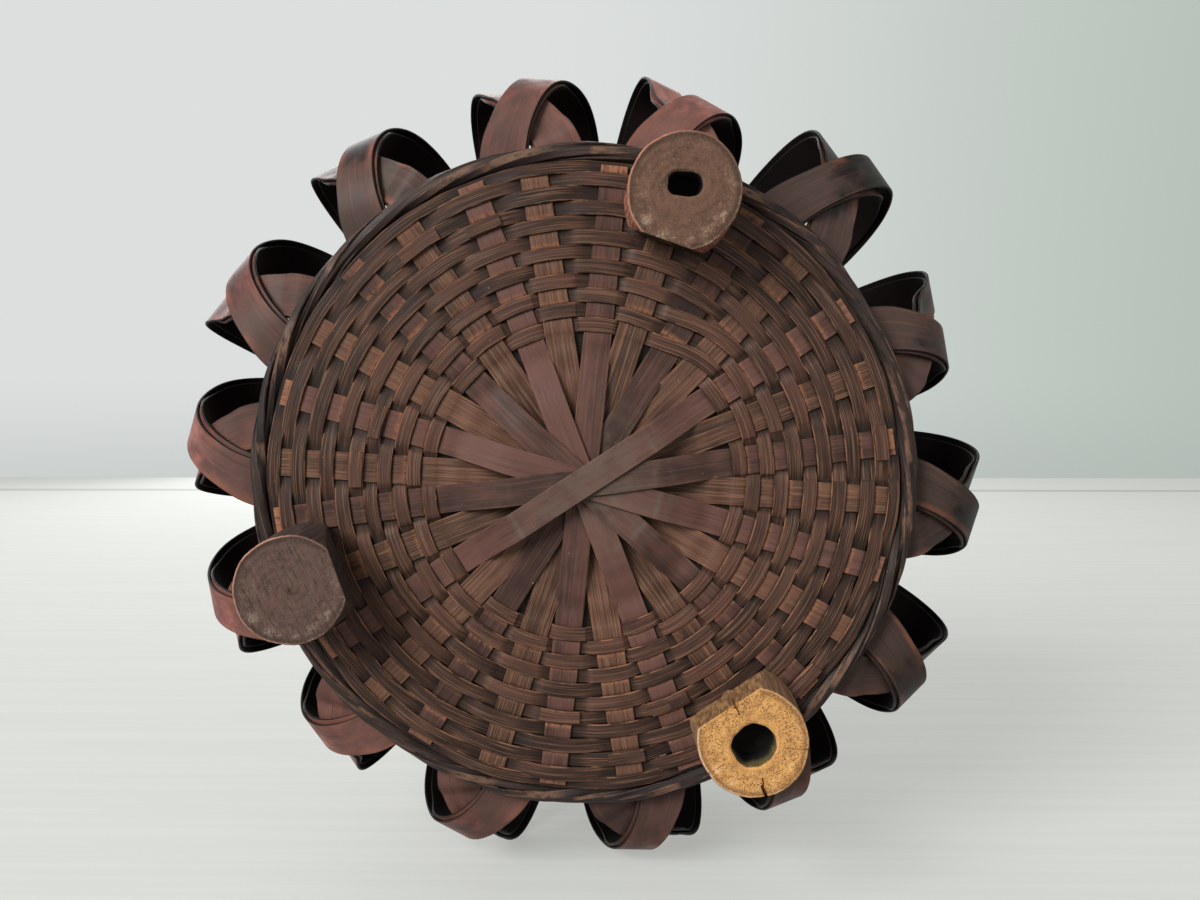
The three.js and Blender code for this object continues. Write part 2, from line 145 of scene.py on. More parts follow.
# %% [markdown]
# Almost everything in this basket is a strip of split bamboo that follows a path. One Geometry Nodes
# tree makes them all: it turns edge chains into curves, sets which way each strip faces, sweeps a
# rounded rectangle along them and keeps the distance along and across as attributes, so that grain
# can run with the strip. A slow seeded noise moves the paths a little, because no hand lays them true.

# %% The strip tree
strip_tree = bpy.data.node_groups.new("Strip along a path", "GeometryNodeTree")
strip_sockets = {}
for label, kind in {
    "Paths": "NodeSocketGeometry", "Width": "NodeSocketFloat", "Thickness": "NodeSocketFloat",
    "Edge round": "NodeSocketFloat", "Edge steps": "NodeSocketInt", "Wander": "NodeSocketFloat",
    "Wander size": "NodeSocketFloat", "Seed": "NodeSocketFloat", "Finish": "NodeSocketMaterial",
}.items():
    made = strip_tree.interface.new_socket(label, in_out="INPUT", socket_type=kind)
    strip_sockets[label] = made.identifier
strip_tree.interface.new_socket("Strips", in_out="OUTPUT", socket_type="NodeSocketGeometry")


def build_strip_tree(tree):
    """Paths in, swept strips out"""
    given = add(tree, "NodeGroupInput").outputs
    place = add(tree, "GeometryNodeInputPosition").outputs[0]
    finer = add(tree, "ShaderNodeVectorMath", {0: place, 1: given["Wander size"]}, operation="DIVIDE")
    noise = add(tree, "ShaderNodeTexNoise", {
        "Vector": finer.outputs[0], "W": given["Seed"], "Scale": 1.0, "Detail": 1.0,
    }, noise_dimensions="4D")
    centred = add(tree, "ShaderNodeVectorMath", {0: noise.outputs["Color"], 1: (0.5, 0.5, 0.5)},
                  operation="SUBTRACT")
    shove = add(tree, "ShaderNodeVectorMath", {0: centred.outputs[0], "Scale": given["Wander"]},
                operation="SCALE")
    moved = add(tree, "GeometryNodeSetPosition", {"Geometry": given["Paths"], "Offset": shove.outputs[0]})
    curve = add(tree, "GeometryNodeMeshToCurve", {"Mesh": moved.outputs[0]})
    facing = add(tree, "GeometryNodeInputNamedAttribute", {"Name": "facing"}, data_type="FLOAT_VECTOR")
    turned = add(tree, "GeometryNodeSetCurveNormal", {
        "Curve": curve.outputs[0], "Normal": facing.outputs["Attribute"],
    }, mode="FREE")
    length = add(tree, "GeometryNodeSplineParameter").outputs["Length"]
    marked = add(tree, "GeometryNodeStoreNamedAttribute", {
        "Geometry": turned.outputs[0], "Name": "along", "Value": length,
    }, data_type="FLOAT", domain="POINT")
    outline = add(tree, "GeometryNodeCurvePrimitiveQuadrilateral", {
        "Width": given["Thickness"], "Height": given["Width"],
    })
    rounded = add(tree, "GeometryNodeFilletCurve", {
        "Curve": outline.outputs[0], "Count": given["Edge steps"], "Radius": given["Edge round"],
        "Limit Radius": True,
    }, mode="POLY")
    section = add(tree, "GeometryNodeStoreNamedAttribute", {
        "Geometry": rounded.outputs[0], "Name": "section", "Value": place,
    }, data_type="FLOAT_VECTOR", domain="POINT")
    breadth = add(tree, "GeometryNodeInputNamedAttribute", {"Name": "breadth"}, data_type="FLOAT")
    swept = add(tree, "GeometryNodeCurveToMesh", {
        "Curve": marked.outputs[0], "Profile Curve": section.outputs[0],
        "Scale": breadth.outputs["Attribute"], "Fill Caps": True,
    })
    real = add(tree, "GeometryNodeRealizeInstances", {"Geometry": swept.outputs[0]})
    finished = add(tree, "GeometryNodeSetMaterial", {
        "Geometry": real.outputs[0], "Material": given["Finish"],
    })
    add(tree, "NodeGroupOutput", {"Strips": finished.outputs[0]})


build_strip_tree(strip_tree)
print("strip tree has", len(strip_tree.nodes), "nodes")

# %% [markdown]
# A strand is one strip's path: its points, the way its outer side faces, and how broad, worn and dark
# it is along the way. The functions here gather strands into one mesh of edge chains, run the tree on
# it and keep the result as a plain mesh.

# %% Strands and strips


def strand(points, facing, tone, breadth=1.0, wear=0.0, painted_shade=0.0, dust=0.0, closed=False):
    """One strip's path in millimetres. Breadth, wear, painted shade and dust may change along it."""
    points = np.asarray(points, float)
    count = len(points)
    spread = lambda values, width: np.broadcast_to(np.asarray(values, float), (count,) + width)
    return {
        "points": points, "facing": spread(facing, (3,)), "tone": spread(tone, ()),
        "breadth": spread(breadth, ()), "wear": spread(wear, ()), "painted_shade": spread(painted_shade, ()),
        "dust": spread(dust, ()), "closed": closed,
    }


def chain_mesh(name, strands):
    """A mesh of edge chains, one for each strand, with the strands' values on its points"""
    edges, first = [], 0
    for one in strands:
        count = len(one["points"])
        steps = np.arange(first, first + count)
        edges.append(np.stack([steps[:-1], steps[1:]], axis=1))
        if one["closed"]:
            edges.append(np.array([[first + count - 1, first]]))
        first += count
    data = bpy.data.meshes.new(name)
    points = np.concatenate([one["points"] for one in strands]) * MM
    data.from_pydata(points.tolist(), np.concatenate(edges).tolist(), [])
    for key in ("facing", "tone", "breadth", "wear", "painted_shade", "dust"):
        kind, field = ("FLOAT_VECTOR", "vector") if key == "facing" else ("FLOAT", "value")
        values = np.concatenate([one[key] for one in strands]).astype(np.float32)
        data.attributes.new(key, kind, "POINT").data.foreach_set(field, values.ravel())
    return data


def strips(name, strands, width, thickness, finish, edge=0.15, steps=1, wander=0.0, wander_size=25,
           seed=1, sharp=32):
    """Sweep every strand into a strip, and return one object with the strips as a plain mesh"""
    piece = bpy.data.objects.new(name, chain_mesh(name, strands))
    bpy.context.scene.collection.objects.link(piece)
    modifier = piece.modifiers.new("Strip along a path", "NODES")
    modifier.node_group = strip_tree
    for label, value in {
        "Width": width * MM, "Thickness": thickness * MM, "Edge round": edge * MM, "Edge steps": steps,
        "Wander": wander * MM, "Wander size": wander_size * MM, "Seed": float(seed), "Finish": finish,
    }.items():
        modifier[strip_sockets[label]] = value
    graph = bpy.context.evaluated_depsgraph_get()
    swept = bpy.data.meshes.new_from_object(piece.evaluated_get(graph))
    piece.modifiers.clear()
    piece.data = swept
    swept.set_sharp_from_angle(angle=sharp * RAD)
    print(name, len(strands), "strips,", len(swept.polygons), "faces")
    return piece


def settle(piece, nodes, body="basket"):
    """Let a finished piece stand for its solids and ride on its body"""
    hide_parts(*nodes)
    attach(piece, body)
    return piece


# %% [markdown]
# The bamboo here is smoked and rubbed with dark lacquer. On a split face the fibres show as fine pale
# streaks along the strip, and edges and high bends are rubbed through to the orange bamboo under the
# stain. The pattern reads the strip's own along and across, so it turns with every bend.

# %% Finish of the split and skin-side strips


def strip_place(tree):
    """Millimetres along and across a strip, its tone, and its outer side, from the attributes"""
    along = add(tree, "ShaderNodeAttribute", attribute_name="along").outputs["Fac"]
    section = add(tree, "ShaderNodeAttribute", attribute_name="section").outputs["Vector"]
    tone = add(tree, "ShaderNodeAttribute", attribute_name="tone").outputs["Fac"]
    parts = add(tree, "ShaderNodeSeparateXYZ", {0: section})
    shift = add(tree, "ShaderNodeMath", {0: tone, 1: 0.731}, operation="MULTIPLY")
    joined = add(tree, "ShaderNodeCombineXYZ", {"X": along, "Y": parts.outputs["Y"], "Z": shift.outputs[0]})
    spot = add(tree, "ShaderNodeVectorMath", {0: joined.outputs[0], "Scale": 1 / MM}, operation="SCALE")
    across = add(tree, "ShaderNodeMath", {0: parts.outputs["Y"], 1: 1 / MM}, operation="MULTIPLY")
    return spot.outputs[0], across.outputs[0], parts.outputs["X"], tone


def pattern(tree, spot, length, width, detail=3.0, rough=0.55):
    """Noise stretched along a strip, with cells of the given length and width in millimetres"""
    scaled = add(tree, "ShaderNodeVectorMath", {0: spot, 1: (1 / length, 1 / width, 1.0)},
                 operation="MULTIPLY")
    return add(tree, "ShaderNodeTexNoise", {
        "Vector": scaled.outputs[0], "Scale": 1.0, "Detail": detail, "Roughness": rough,
    }).outputs["Fac"]


def between(tree, value, low, high, out_low=0.0, out_high=1.0):
    """A value's place between two bounds, eased and held at the ends"""
    return add(tree, "ShaderNodeMapRange", {
        "Value": value, "From Min": low, "From Max": high, "To Min": out_low, "To Max": out_high,
    }, interpolation_type="SMOOTHSTEP").outputs[0]


def blended(tree, amount, first, second):
    """Mix of two colours"""
    mixed = add(tree, "ShaderNodeMix", {0: amount, MIX_A: first, MIX_B: second}, data_type="RGBA")
    return mixed.outputs[MIX_COLOUR]


def product(tree, first, second):
    """Two values multiplied"""
    return add(tree, "ShaderNodeMath", {0: first, 1: second}, operation="MULTIPLY").outputs[0]


def strip_finish(name, dark, middle, pale, worn, half_width, grain=0.42, streaks=0.5, edge_wear=0.5,
                 rough=(0.5, 0.7), coat=0.0, relief=0.09, blotch=14, crack=0.6):
    """Smoked bamboo strip. Half width is the strip's, for the worn edges; grain is a fibre's width."""
    material, tree, shader = new_material(name)
    spot, across, _, tone = strip_place(tree)
    wear = add(tree, "ShaderNodeAttribute", attribute_name="wear").outputs["Fac"]
    clouds = pattern(tree, spot, blotch, blotch * 0.35, 3.0)
    shade = add(tree, "ShaderNodeMath", {0: clouds, 1: tone}, operation="ADD").outputs[0]
    base = blended(tree, between(tree, shade, 0.7, 1.3), linear(dark), linear(middle))
    fibres = pattern(tree, spot, 26, grain, 4.0, 0.62)
    fine = pattern(tree, spot, 9, grain * 0.45, 2.0)
    streak = product(tree, between(tree, fibres, 0.5, 0.64), streaks)
    base = blended(tree, streak, base, linear(pale))
    cracks = product(tree, between(tree, fibres, 0.45, 0.34), crack)
    base = blended(tree, cracks, base, linear("#1d1411"))
    size = add(tree, "ShaderNodeMath", {0: across}, operation="ABSOLUTE").outputs[0]
    rim = between(tree, size, half_width * 0.8, half_width * 1.0)
    rubbed = between(tree, pattern(tree, spot, 7, 3, 3.0), 0.46, 0.62, 0.0, edge_wear)
    base = blended(tree, product(tree, rim, rubbed), base, linear(worn))
    worn_through = product(tree, wear, between(tree, pattern(tree, spot, 3, 1.1, 3.0), 0.26, 0.6))
    base = blended(tree, worn_through, base, linear(worn))
    dust = add(tree, "ShaderNodeAttribute", attribute_name="dust").outputs["Fac"]
    dusty = product(tree, dust, between(tree, pattern(tree, spot, 6, 5, 4.0), 0.38, 0.6, 0.3, 1.0))
    base = blended(tree, dusty, base, linear("#62574c"))
    specks = between(tree, pattern(tree, spot, 0.9, 0.9, 1.0), 0.79, 0.83, 0.0, 0.5)
    base = blended(tree, specks, base, linear("#b09a8c"))
    # Painted shade: darker where a strip goes down behind another and where a border strand turns away
    painted_shade = add(tree, "ShaderNodeAttribute", attribute_name="painted_shade").outputs["Fac"]
    base = blended(tree, product(tree, painted_shade, 0.65), base, linear("#140f0c"))
    tree.links.new(base, shader.inputs["Base Color"])
    gloss = between(tree, clouds, 0.35, 0.65, *rough)
    tree.links.new(gloss, shader.inputs["Roughness"])
    height = add(tree, "ShaderNodeMath", {0: fibres, 1: fine}, operation="ADD").outputs[0]
    bump = add(tree, "ShaderNodeBump", {"Height": height, "Strength": 0.85, "Distance": relief * MM})
    tree.links.new(bump.outputs[0], shader.inputs["Normal"])
    shader.inputs["Coat Weight"].default_value = coat
    shader.inputs["Coat Roughness"].default_value = 0.3
    shader.inputs["Specular IOR Level"].default_value = 0.19
    return material


# Split-face weft: matt brown with fibres that show, rubbed pale on the edges
weft_finish = strip_finish("Smoked split bamboo, weft", "#241712", "#4b3228", "#7b5a46", "#a07052", 2.3,
                           grain=0.36, streaks=0.6, edge_wear=0.6, crack=0.7, relief=0.11)
# Split-face spoke: the same fibres across a broader strip, more orange where the wefts rub it
split_spoke_finish = strip_finish("Smoked split bamboo, spoke", "#38261d", "#5f4234", "#87634b",
                                  "#a56f4e", 4.7, grain=0.36, streaks=0.55, edge_wear=0.2, crack=0.65)
# Skin-side spoke: closed smooth skin that took the stain plum red, with a dull waxy shine
skin_spoke_finish = strip_finish("Smoked skin bamboo, spoke", "#35231e", "#5d4038", "#6c5046",
                                 "#a56f4e", 4.7, grain=0.6, streaks=0.3, edge_wear=0.12,
                                 rough=(0.58, 0.76), relief=0.04, blotch=16, crack=0.3)
# Border strand: thin split strip, grey where handling has polished it
border_finish = strip_finish("Smoked split bamboo, border", "#0d0908", "#2f231f", "#5a4b43", "#735544",
                             1.05, grain=0.35, streaks=0.45, edge_wear=0.5, rough=(0.45, 0.65), relief=0.08)
# What lies deep behind the weave and inside the ropes: the same bamboo, painted nearly black as painted shade
shade_dark_finish = strip_finish("Smoked split bamboo, painted shade dark", "#120d0b", "#281e19", "#3d3028", "#3d3028", 2.5)
# Hoop: split bamboo rod shaved flat, evenly stained
hoop_finish = strip_finish("Smoked bamboo hoop", "#3f2b25", "#684438", "#8a6048", "#a86e49", 2.2,
                           streaks=0.45, rough=(0.4, 0.55), coat=0.1)

# %% [markdown]
# The base is woven from fourteen whole strips that cross at the centre. Seven lie skin side out and
# show as the star, and seven lie split side out behind them. Eleven rounds of weft go over one spoke
# and under the next. The first four rounds are one long strip that steps out to the next round in the
# same place, and there it has to pass over two spokes, which the photograph shows as slanting floats.

# %% Rounds and spokes of the base
rng = random.Random(7)
star_turns = [-57.6, -84.2, -110.7, -137.3, -163.4, -187.4, -213.1]  # skin strips, first laid first
split_turns = [-20.7, -45.5, -72.0, -99.0, -124.7, -150.3, -176.4]
spoke_angles = sorted(turn % 360 for turn in star_turns + split_turns + [
    turn + 180 for turn in star_turns + split_turns])
spoke_count = len(spoke_angles)

rounds = 11
first_round = 51.2
round_pitch = 4.72
edge_round_radius = 102.0
weft_width = 4.62
weft_thickness = 0.7
spoke_width = 9.2
spoke_thickness = 0.55
weft_swing = 0.9  # how far a weft goes in and out of the middle of the weave
spoke_swing = 0.25
weave_height = base_bottom + 1.1  # middle of the base's weave

step_angle = -53.0  # where the first rounds step outwards
step_width = 30.0
stepping_rounds = 4
wave = [(rng.uniform(0.06, 0.2), rng.randint(1, 5), rng.uniform(0, TURN), rng.uniform(0.4, 0.9))
        for _ in range(6)]


def round_radius(row, angle):
    """Radius of a round's middle. Hand laid rounds wave a little, each much like the one before."""
    sway = sum(a * np.sin(n * angle * RAD + phase + drift * row) for a, n, phase, drift in wave)
    loose = 0.55 * np.exp(-(((angle + 68) % 360 - 360 * ((angle + 68) % 360 > 180)) / 16) ** 2)
    return first_round + round_pitch * row + sway + loose * np.clip(1 - np.abs(row - 2.6), 0, 1)


def step_row(angle):
    """Round reached by the stepping weft at an angle counted on from its first step"""
    done = sum(smooth((angle - step_angle - 360 * turn) / step_width + 0.5)
               for turn in range(1, stepping_rounds))
    return done


def side_at(row, spoke):
    """+1 where a round passes outside a spoke, so that it shows, and -1 where it passes behind"""
    return 1 if (row + spoke) % 2 == skin_first else -1


skin_first = spoke_angles.index(star_turns[1] % 360) % 2


def over_under(places, crossings, sharpness):
    """Side of a strip along its way: bowed over each strip that it crosses, steep between them"""
    at = np.array([place for place, _ in crossings])
    side = np.array([value for _, value in crossings], float)
    i = np.clip(np.searchsorted(at, places) - 1, 0, len(at) - 2)
    swing = np.cos(math.pi * (places - at[i]) / (at[i + 1] - at[i]))
    bowed = np.sign(swing) * np.abs(swing) ** sharpness
    return (side[i] + side[i + 1]) / 2 + (side[i] - side[i + 1]) / 2 * bowed


def base_point(angle, radius, side):
    """Point of the base weave. Side is how far it stands out towards the floor."""
    return np.stack([radius * np.cos(angle * RAD), radius * np.sin(angle * RAD),
                     np.broadcast_to(weave_height - side, np.shape(angle))], axis=-1)


def spoke_crossings(start, stop):
    """Unwrapped angles of the spokes between two angles, each with the spoke's number"""
    found = []
    for lap in range(math.floor(start / 360) - 1, math.ceil(stop / 360) + 1):
        found += [(angle + 360 * lap, i) for i, angle in enumerate(spoke_angles)
                  if start <= angle + 360 * lap <= stop]
    return sorted(found)


weft_step = 1.0  # millimetres between a weft's points
base_wefts = []
met = {i: [] for i in range(spoke_count)}  # what each spoke meets on its way out: radius and side


def flatness(radius):
    """Power that keeps a weft at 0.8 of its full swing at a spoke's edge"""
    share = min(0.84, spoke_width / (TURN * radius / spoke_count))
    return math.log(0.8) / math.log(math.cos(share * math.pi / 2))


def recess(side):
    """Painted shade where a strip goes down behind another"""
    return smooth((-0.15 - side) / 0.6)


for row in range(stepping_rounds, rounds + 1):
    edge_row = row == rounds
    angle_step = weft_step / (first_round + round_pitch * row) / RAD
    angles = np.arange(0, 360, angle_step)
    radius = round_radius(row, angles)
    if edge_row:
        radius = edge_round_radius + 0.25 * (radius - radius.mean())
    near = spoke_crossings(-40, 400)
    side = over_under(angles, [(a, side_at(row, i)) for a, i in near], flatness(radius.mean()))
    broad = (0.86 if edge_row else 1.0) * (1 + 0.05 * np.sin(3 * angles * RAD + row * 2.1))
    points = base_point(angles, radius, side * weft_swing)
    dark = rng.uniform(0.25, 0.5) if row > 8 else rng.uniform(0.4, 0.75)
    base_wefts.append(strand(points, (0, 0, -1), dark, broad, painted_shade=recess(side), closed=True))
    for i, angle in enumerate(spoke_angles):
        at = edge_round_radius if edge_row else float(round_radius(row, np.array(angle)))
        met[i].append((at, -side_at(row, i)))

# The stepping weft: four rounds in one strip, its two ends tucked behind their neighbours
begin = step_angle - 6
end = step_angle + 360 * stepping_rounds + 6
angles = np.arange(begin, end, weft_step / 58 / RAD)
rows_here = step_row(angles)
laps = [(a, i, int(round(float(step_row(np.array(a)))))) for a, i in spoke_crossings(begin - 30, end + 30)]
side = over_under(angles, [(a, side_at(row, i)) for a, i, row in laps], flatness(60))
tuck = np.maximum(smooth((begin + 16 - angles) / 14), smooth((angles - end + 16) / 14))
points = base_point(angles, round_radius(rows_here, angles), side * weft_swing * (1 - tuck) - 1.1 * tuck)
base_wefts.append(strand(points, (0, 0, -1), 0.66, painted_shade=recess(side)))
for a, i, row in laps:
    if begin + 12 <= a <= end - 12:
        met[i].append((float(round_radius(step_row(np.array(a)), np.array(a))), -side_at(row, i)))
print("wefts in the base", len(base_wefts), "and each spoke meets", sorted({len(m) for m in met.values()}))

# %% [markdown]
# A new weft is laid over the end of the last one for about a spoke's width. These short laps are what
# give a hand-woven base its odd thick spots, so a few are placed by a seeded draw.

# %% Laps where one weft ends and the next begins
for _ in range(11):
    row = rng.randrange(stepping_rounds, rounds)
    i = rng.choice([k for k in range(spoke_count) if side_at(row, k) > 0])
    reach = rng.uniform(0.55, 0.8) * spoke_width / (first_round + round_pitch * row) / RAD
    angles = np.linspace(spoke_angles[i] - reach, spoke_angles[i] + reach * rng.uniform(0.6, 1.1), 14)
    lift = weft_swing + weft_thickness * 0.9
    points = base_point(angles, round_radius(row, angles) + rng.uniform(-0.5, 0.5), lift)
    base_wefts.append(strand(points, (0, 0, -1), rng.uniform(0.5, 0.9), rng.uniform(0.8, 0.95)))

base_weft_piece = strips("base_wefts", base_wefts, weft_width, weft_thickness, weft_finish, edge=0.16,
                         wander=0.5, wander_size=12, seed=3)
settle(base_weft_piece, ["base_weave"])

# %% [markdown]
# Each spoke is one strip from edge to edge. Inside the weave it rides over the strips laid before it,
# and outside it goes in and out between the wefts. Where it comes out it is bent hard on the side
# towards the centre, and there the stain is rubbed through: those orange lines are the wear here.

# %% Spokes of the base
star_hump = 23.0  # inside this radius the skin strips lie on each other
star_foot = 46.0
star_step = 1.0  # each skin strip stands this far out from the one before
split_step = 0.3
spoke_end = base_radius - 0.4


def spoke_profile(i, radii, height_inside):
    """Height and wear along a half spoke, out from the centre"""
    crossings = sorted(met[i])
    first, last = crossings[0], crossings[-1]
    ready = [(first[0] - round_pitch, -first[1]), *crossings, (last[0] + round_pitch, -last[1])]
    woven = weave_height - spoke_swing * over_under(radii, ready, 0.5)
    join = smooth((radii - star_hump) / (star_foot - star_hump))
    height = height_inside + (woven - height_inside) * join
    wear = np.zeros_like(radii)
    # Painted shade along a spoke: darker out from its first round, less where it comes out over a weft
    painted_shade = smooth((radii - crossings[0][0]) / 3)
    for at, side in crossings:
        if side > 0:
            broad = rng.uniform(0.5, 0.85)
            wear += rng.uniform(0.1, 0.8) * np.exp(-(((radii - at + 2.1) / broad) ** 2))
            painted_shade -= np.exp(-(((radii - at) / 2.5) ** 6))
    wear += 0.8 * smooth((radii - 98.5) / 3) * rng.uniform(0, 1)
    return height, wear * smooth((radii - 53) / 2), np.clip(painted_shade, 0, 1)


def fold(radii, amount):
    """Dust and a pale crease where a strip folds down from the pile"""
    crease = np.exp(-(((radii - rng.uniform(23, 26)) / 0.7) ** 2)) + 0.5 * np.exp(-(((radii - 29) / 0.9) ** 2))
    return amount * np.clip(0.55 * np.exp(-((radii / 24) ** 4)) + 0.7 * crease, 0, 0.9)


def whole_spoke(turn, height_inside, tone, folded=(0.0, 0.0)):
    """A strip across the whole base. Folded is how creased and dusty its two halves are."""
    radii = np.concatenate([np.arange(0, star_foot, 1.5), np.arange(star_foot, spoke_end, 0.55)])
    direction = np.array([math.cos(turn * RAD), math.sin(turn * RAD), 0])
    here = spoke_angles.index(turn % 360)
    there = spoke_angles.index((turn + 180) % 360)
    out, wear_out, painted_shade_out = spoke_profile(here, radii, height_inside)
    back, wear_back, painted_shade_back = spoke_profile(there, radii, height_inside)
    distance = np.concatenate([-radii[:0:-1], radii])
    height = np.concatenate([back[:0:-1], out])
    points = distance[:, None] * direction + height[:, None] * np.array([0, 0, 1])
    wear = np.concatenate([wear_back[:0:-1], wear_out])
    painted_shade = np.concatenate([painted_shade_back[:0:-1], painted_shade_out])
    breadth = 1 - 0.06 * smooth((np.abs(distance) - 60) / 40)
    dust = np.concatenate([fold(radii, folded[1])[:0:-1], fold(radii, folded[0])])
    return strand(points, (0, 0, -1), tone, breadth, np.clip(wear, 0, 1), painted_shade, dust)


for layer, turn in enumerate(star_turns):
    height = base_bottom - touch - spoke_thickness / 2 - layer * star_step
    node = f"base_strip_{layer + 1}"
    # The folds show on the halves that run to the right and downwards, and on the whole last strip
    folded = (0.8, 0.8) if layer == 6 else [0.15 + 0.7 * (math.cos((turn + half) * RAD) > 0.2) for half in (0, 180)]
    laid = whole_spoke(turn, height, 0.3 + 0.08 * ((layer * 3) % 7), folded)
    one = strips(f"star_strip_{layer + 1}", [laid], spoke_width, spoke_thickness, skin_spoke_finish,
                 edge=0.15, wander=0.4, wander_size=30, seed=layer)
    settle(one, [node])

split_spokes = [whole_spoke(turn, base_bottom + 0.3 + split_step * layer, 0.35 + 0.06 * ((layer * 4) % 7))
                for layer, turn in enumerate(split_turns)]
split_piece = strips("base_split_spokes", split_spokes, spoke_width + 0.3, spoke_thickness,
                     split_spoke_finish, edge=0.15, wander=0.4, wander_size=30, seed=20)
settle(split_piece, ["base_weave"])

# %% [markdown]
# No light comes through the gaps of the base in the photograph, so something lies inside it. It is
# taken for the usual inner mat: thin strips side by side on top of the weave, painted nearly black as painted shade.

# %% Inner mat
mat_strips = []
mat_reach = base_radius - 2.4
for k in range(-20, 21):
    off = 5.0 * k
    half = math.sqrt(mat_reach ** 2 - (abs(off) + 2.5) ** 2) if abs(off) + 2.5 < mat_reach else 0
    if half > 4:
        x = np.linspace(-half, half, 24)
        mat_strips.append(strand(np.stack([x, np.full(24, off), np.full(24, base_top - 0.2)], -1), (0, 0, 1),
                                 rng.uniform(0.3, 0.7)))
settle(strips("base_inner_mat", mat_strips, 5.06, 0.28, shade_dark_finish, edge=0.1, seed=25), ["base_weave"])

# %% [markdown]
# The wall goes on from the base: the spokes turn up at the border and become uprights, and rounds of
# weft close it to the rim. It is the same over-and-under, drawn on a leaning wall instead of a disc,
# so the same functions serve. The wall isn't in the photograph, which looks at the base.

# %% Wall
wall_middle = wall_thickness / 2
wall_rows = 22
wall_pitch = (wall_top - wall_bottom - 2) / wall_rows
lean_facing = np.array([math.cos(wall_lean), 0, -math.sin(wall_lean)])


def wall_point(angle, z, side):
    """Point of the wall weave. Side is how far it stands out."""
    radius = wall_outside(z) - wall_middle + side
    return np.stack(np.broadcast_arrays(radius * np.cos(angle * RAD), radius * np.sin(angle * RAD), z),
                    axis=-1)


def wall_facing(angle):
    """Outward direction of the leaning wall"""
    return np.stack(np.broadcast_arrays(lean_facing[0] * np.cos(angle * RAD),
                                        lean_facing[0] * np.sin(angle * RAD), lean_facing[2]), axis=-1)


wall_wefts = []
for row in range(wall_rows):
    z = wall_bottom + 1 + wall_pitch * (row + 0.5)
    angles = np.arange(0, 360, 2.0 / wall_outside(z) / RAD)
    near = spoke_crossings(-40, 400)
    side = over_under(angles, [(a, side_at(row, i)) for a, i in near], flatness(110))
    heights = z + 0.25 * np.sin(2 * angles * RAD + row * 0.5)
    wall_wefts.append(strand(wall_point(angles, heights, side * weft_swing), wall_facing(angles),
                             rng.uniform(0.35, 0.75), 1 + 0.04 * np.sin(3 * angles * RAD + row),
                             painted_shade=recess(side), closed=True))
wall_weft_piece = strips("wall_wefts", wall_wefts, 4.5, weft_thickness, weft_finish, edge=0.16,
                         wander=0.4, wander_size=14, seed=5)
settle(wall_weft_piece, ["wall_weave"])

skin_uprights, split_uprights = [], []
for i, angle in enumerate(spoke_angles):
    z = np.arange(wall_bottom - 0.5, wall_top + 0.4, 0.8)
    crossings = [(wall_bottom + 1 + wall_pitch * (row + 0.5), -side_at(row, i)) for row in range(-1, wall_rows + 1)]
    side = over_under(z, crossings, 0.5)
    wear = sum(rng.uniform(0.2, 0.7) * np.exp(-(((z - at + 1.4) / 0.7) ** 2)) for at, s in crossings if s > 0)
    skin = (i + skin_first) % 2 == 0
    group = skin_uprights if skin else split_uprights
    group.append(strand(wall_point(angle, z, side * spoke_swing), wall_facing(np.array(angle)),
                        rng.uniform(0.3, 0.7), 0.95, wear))
settle(strips("wall_skin_uprights", skin_uprights, spoke_width, spoke_thickness, skin_spoke_finish,
              wander=0.3, wander_size=30, seed=31), ["wall_weave"])
settle(strips("wall_split_uprights", split_uprights, spoke_width, spoke_thickness, split_spoke_finish,
              wander=0.3, wander_size=30, seed=32), ["wall_weave"])

# %% [markdown]
# The border is nine thin strips twisted into a rope as they go round. Each strip comes up over several
# spokes and dives under, so the edge shows long shallow waves with the strips' worn edges catching
# the light. Nine helices, each facing away from the rope's middle and swaying by itself, give that.

# %% Borders


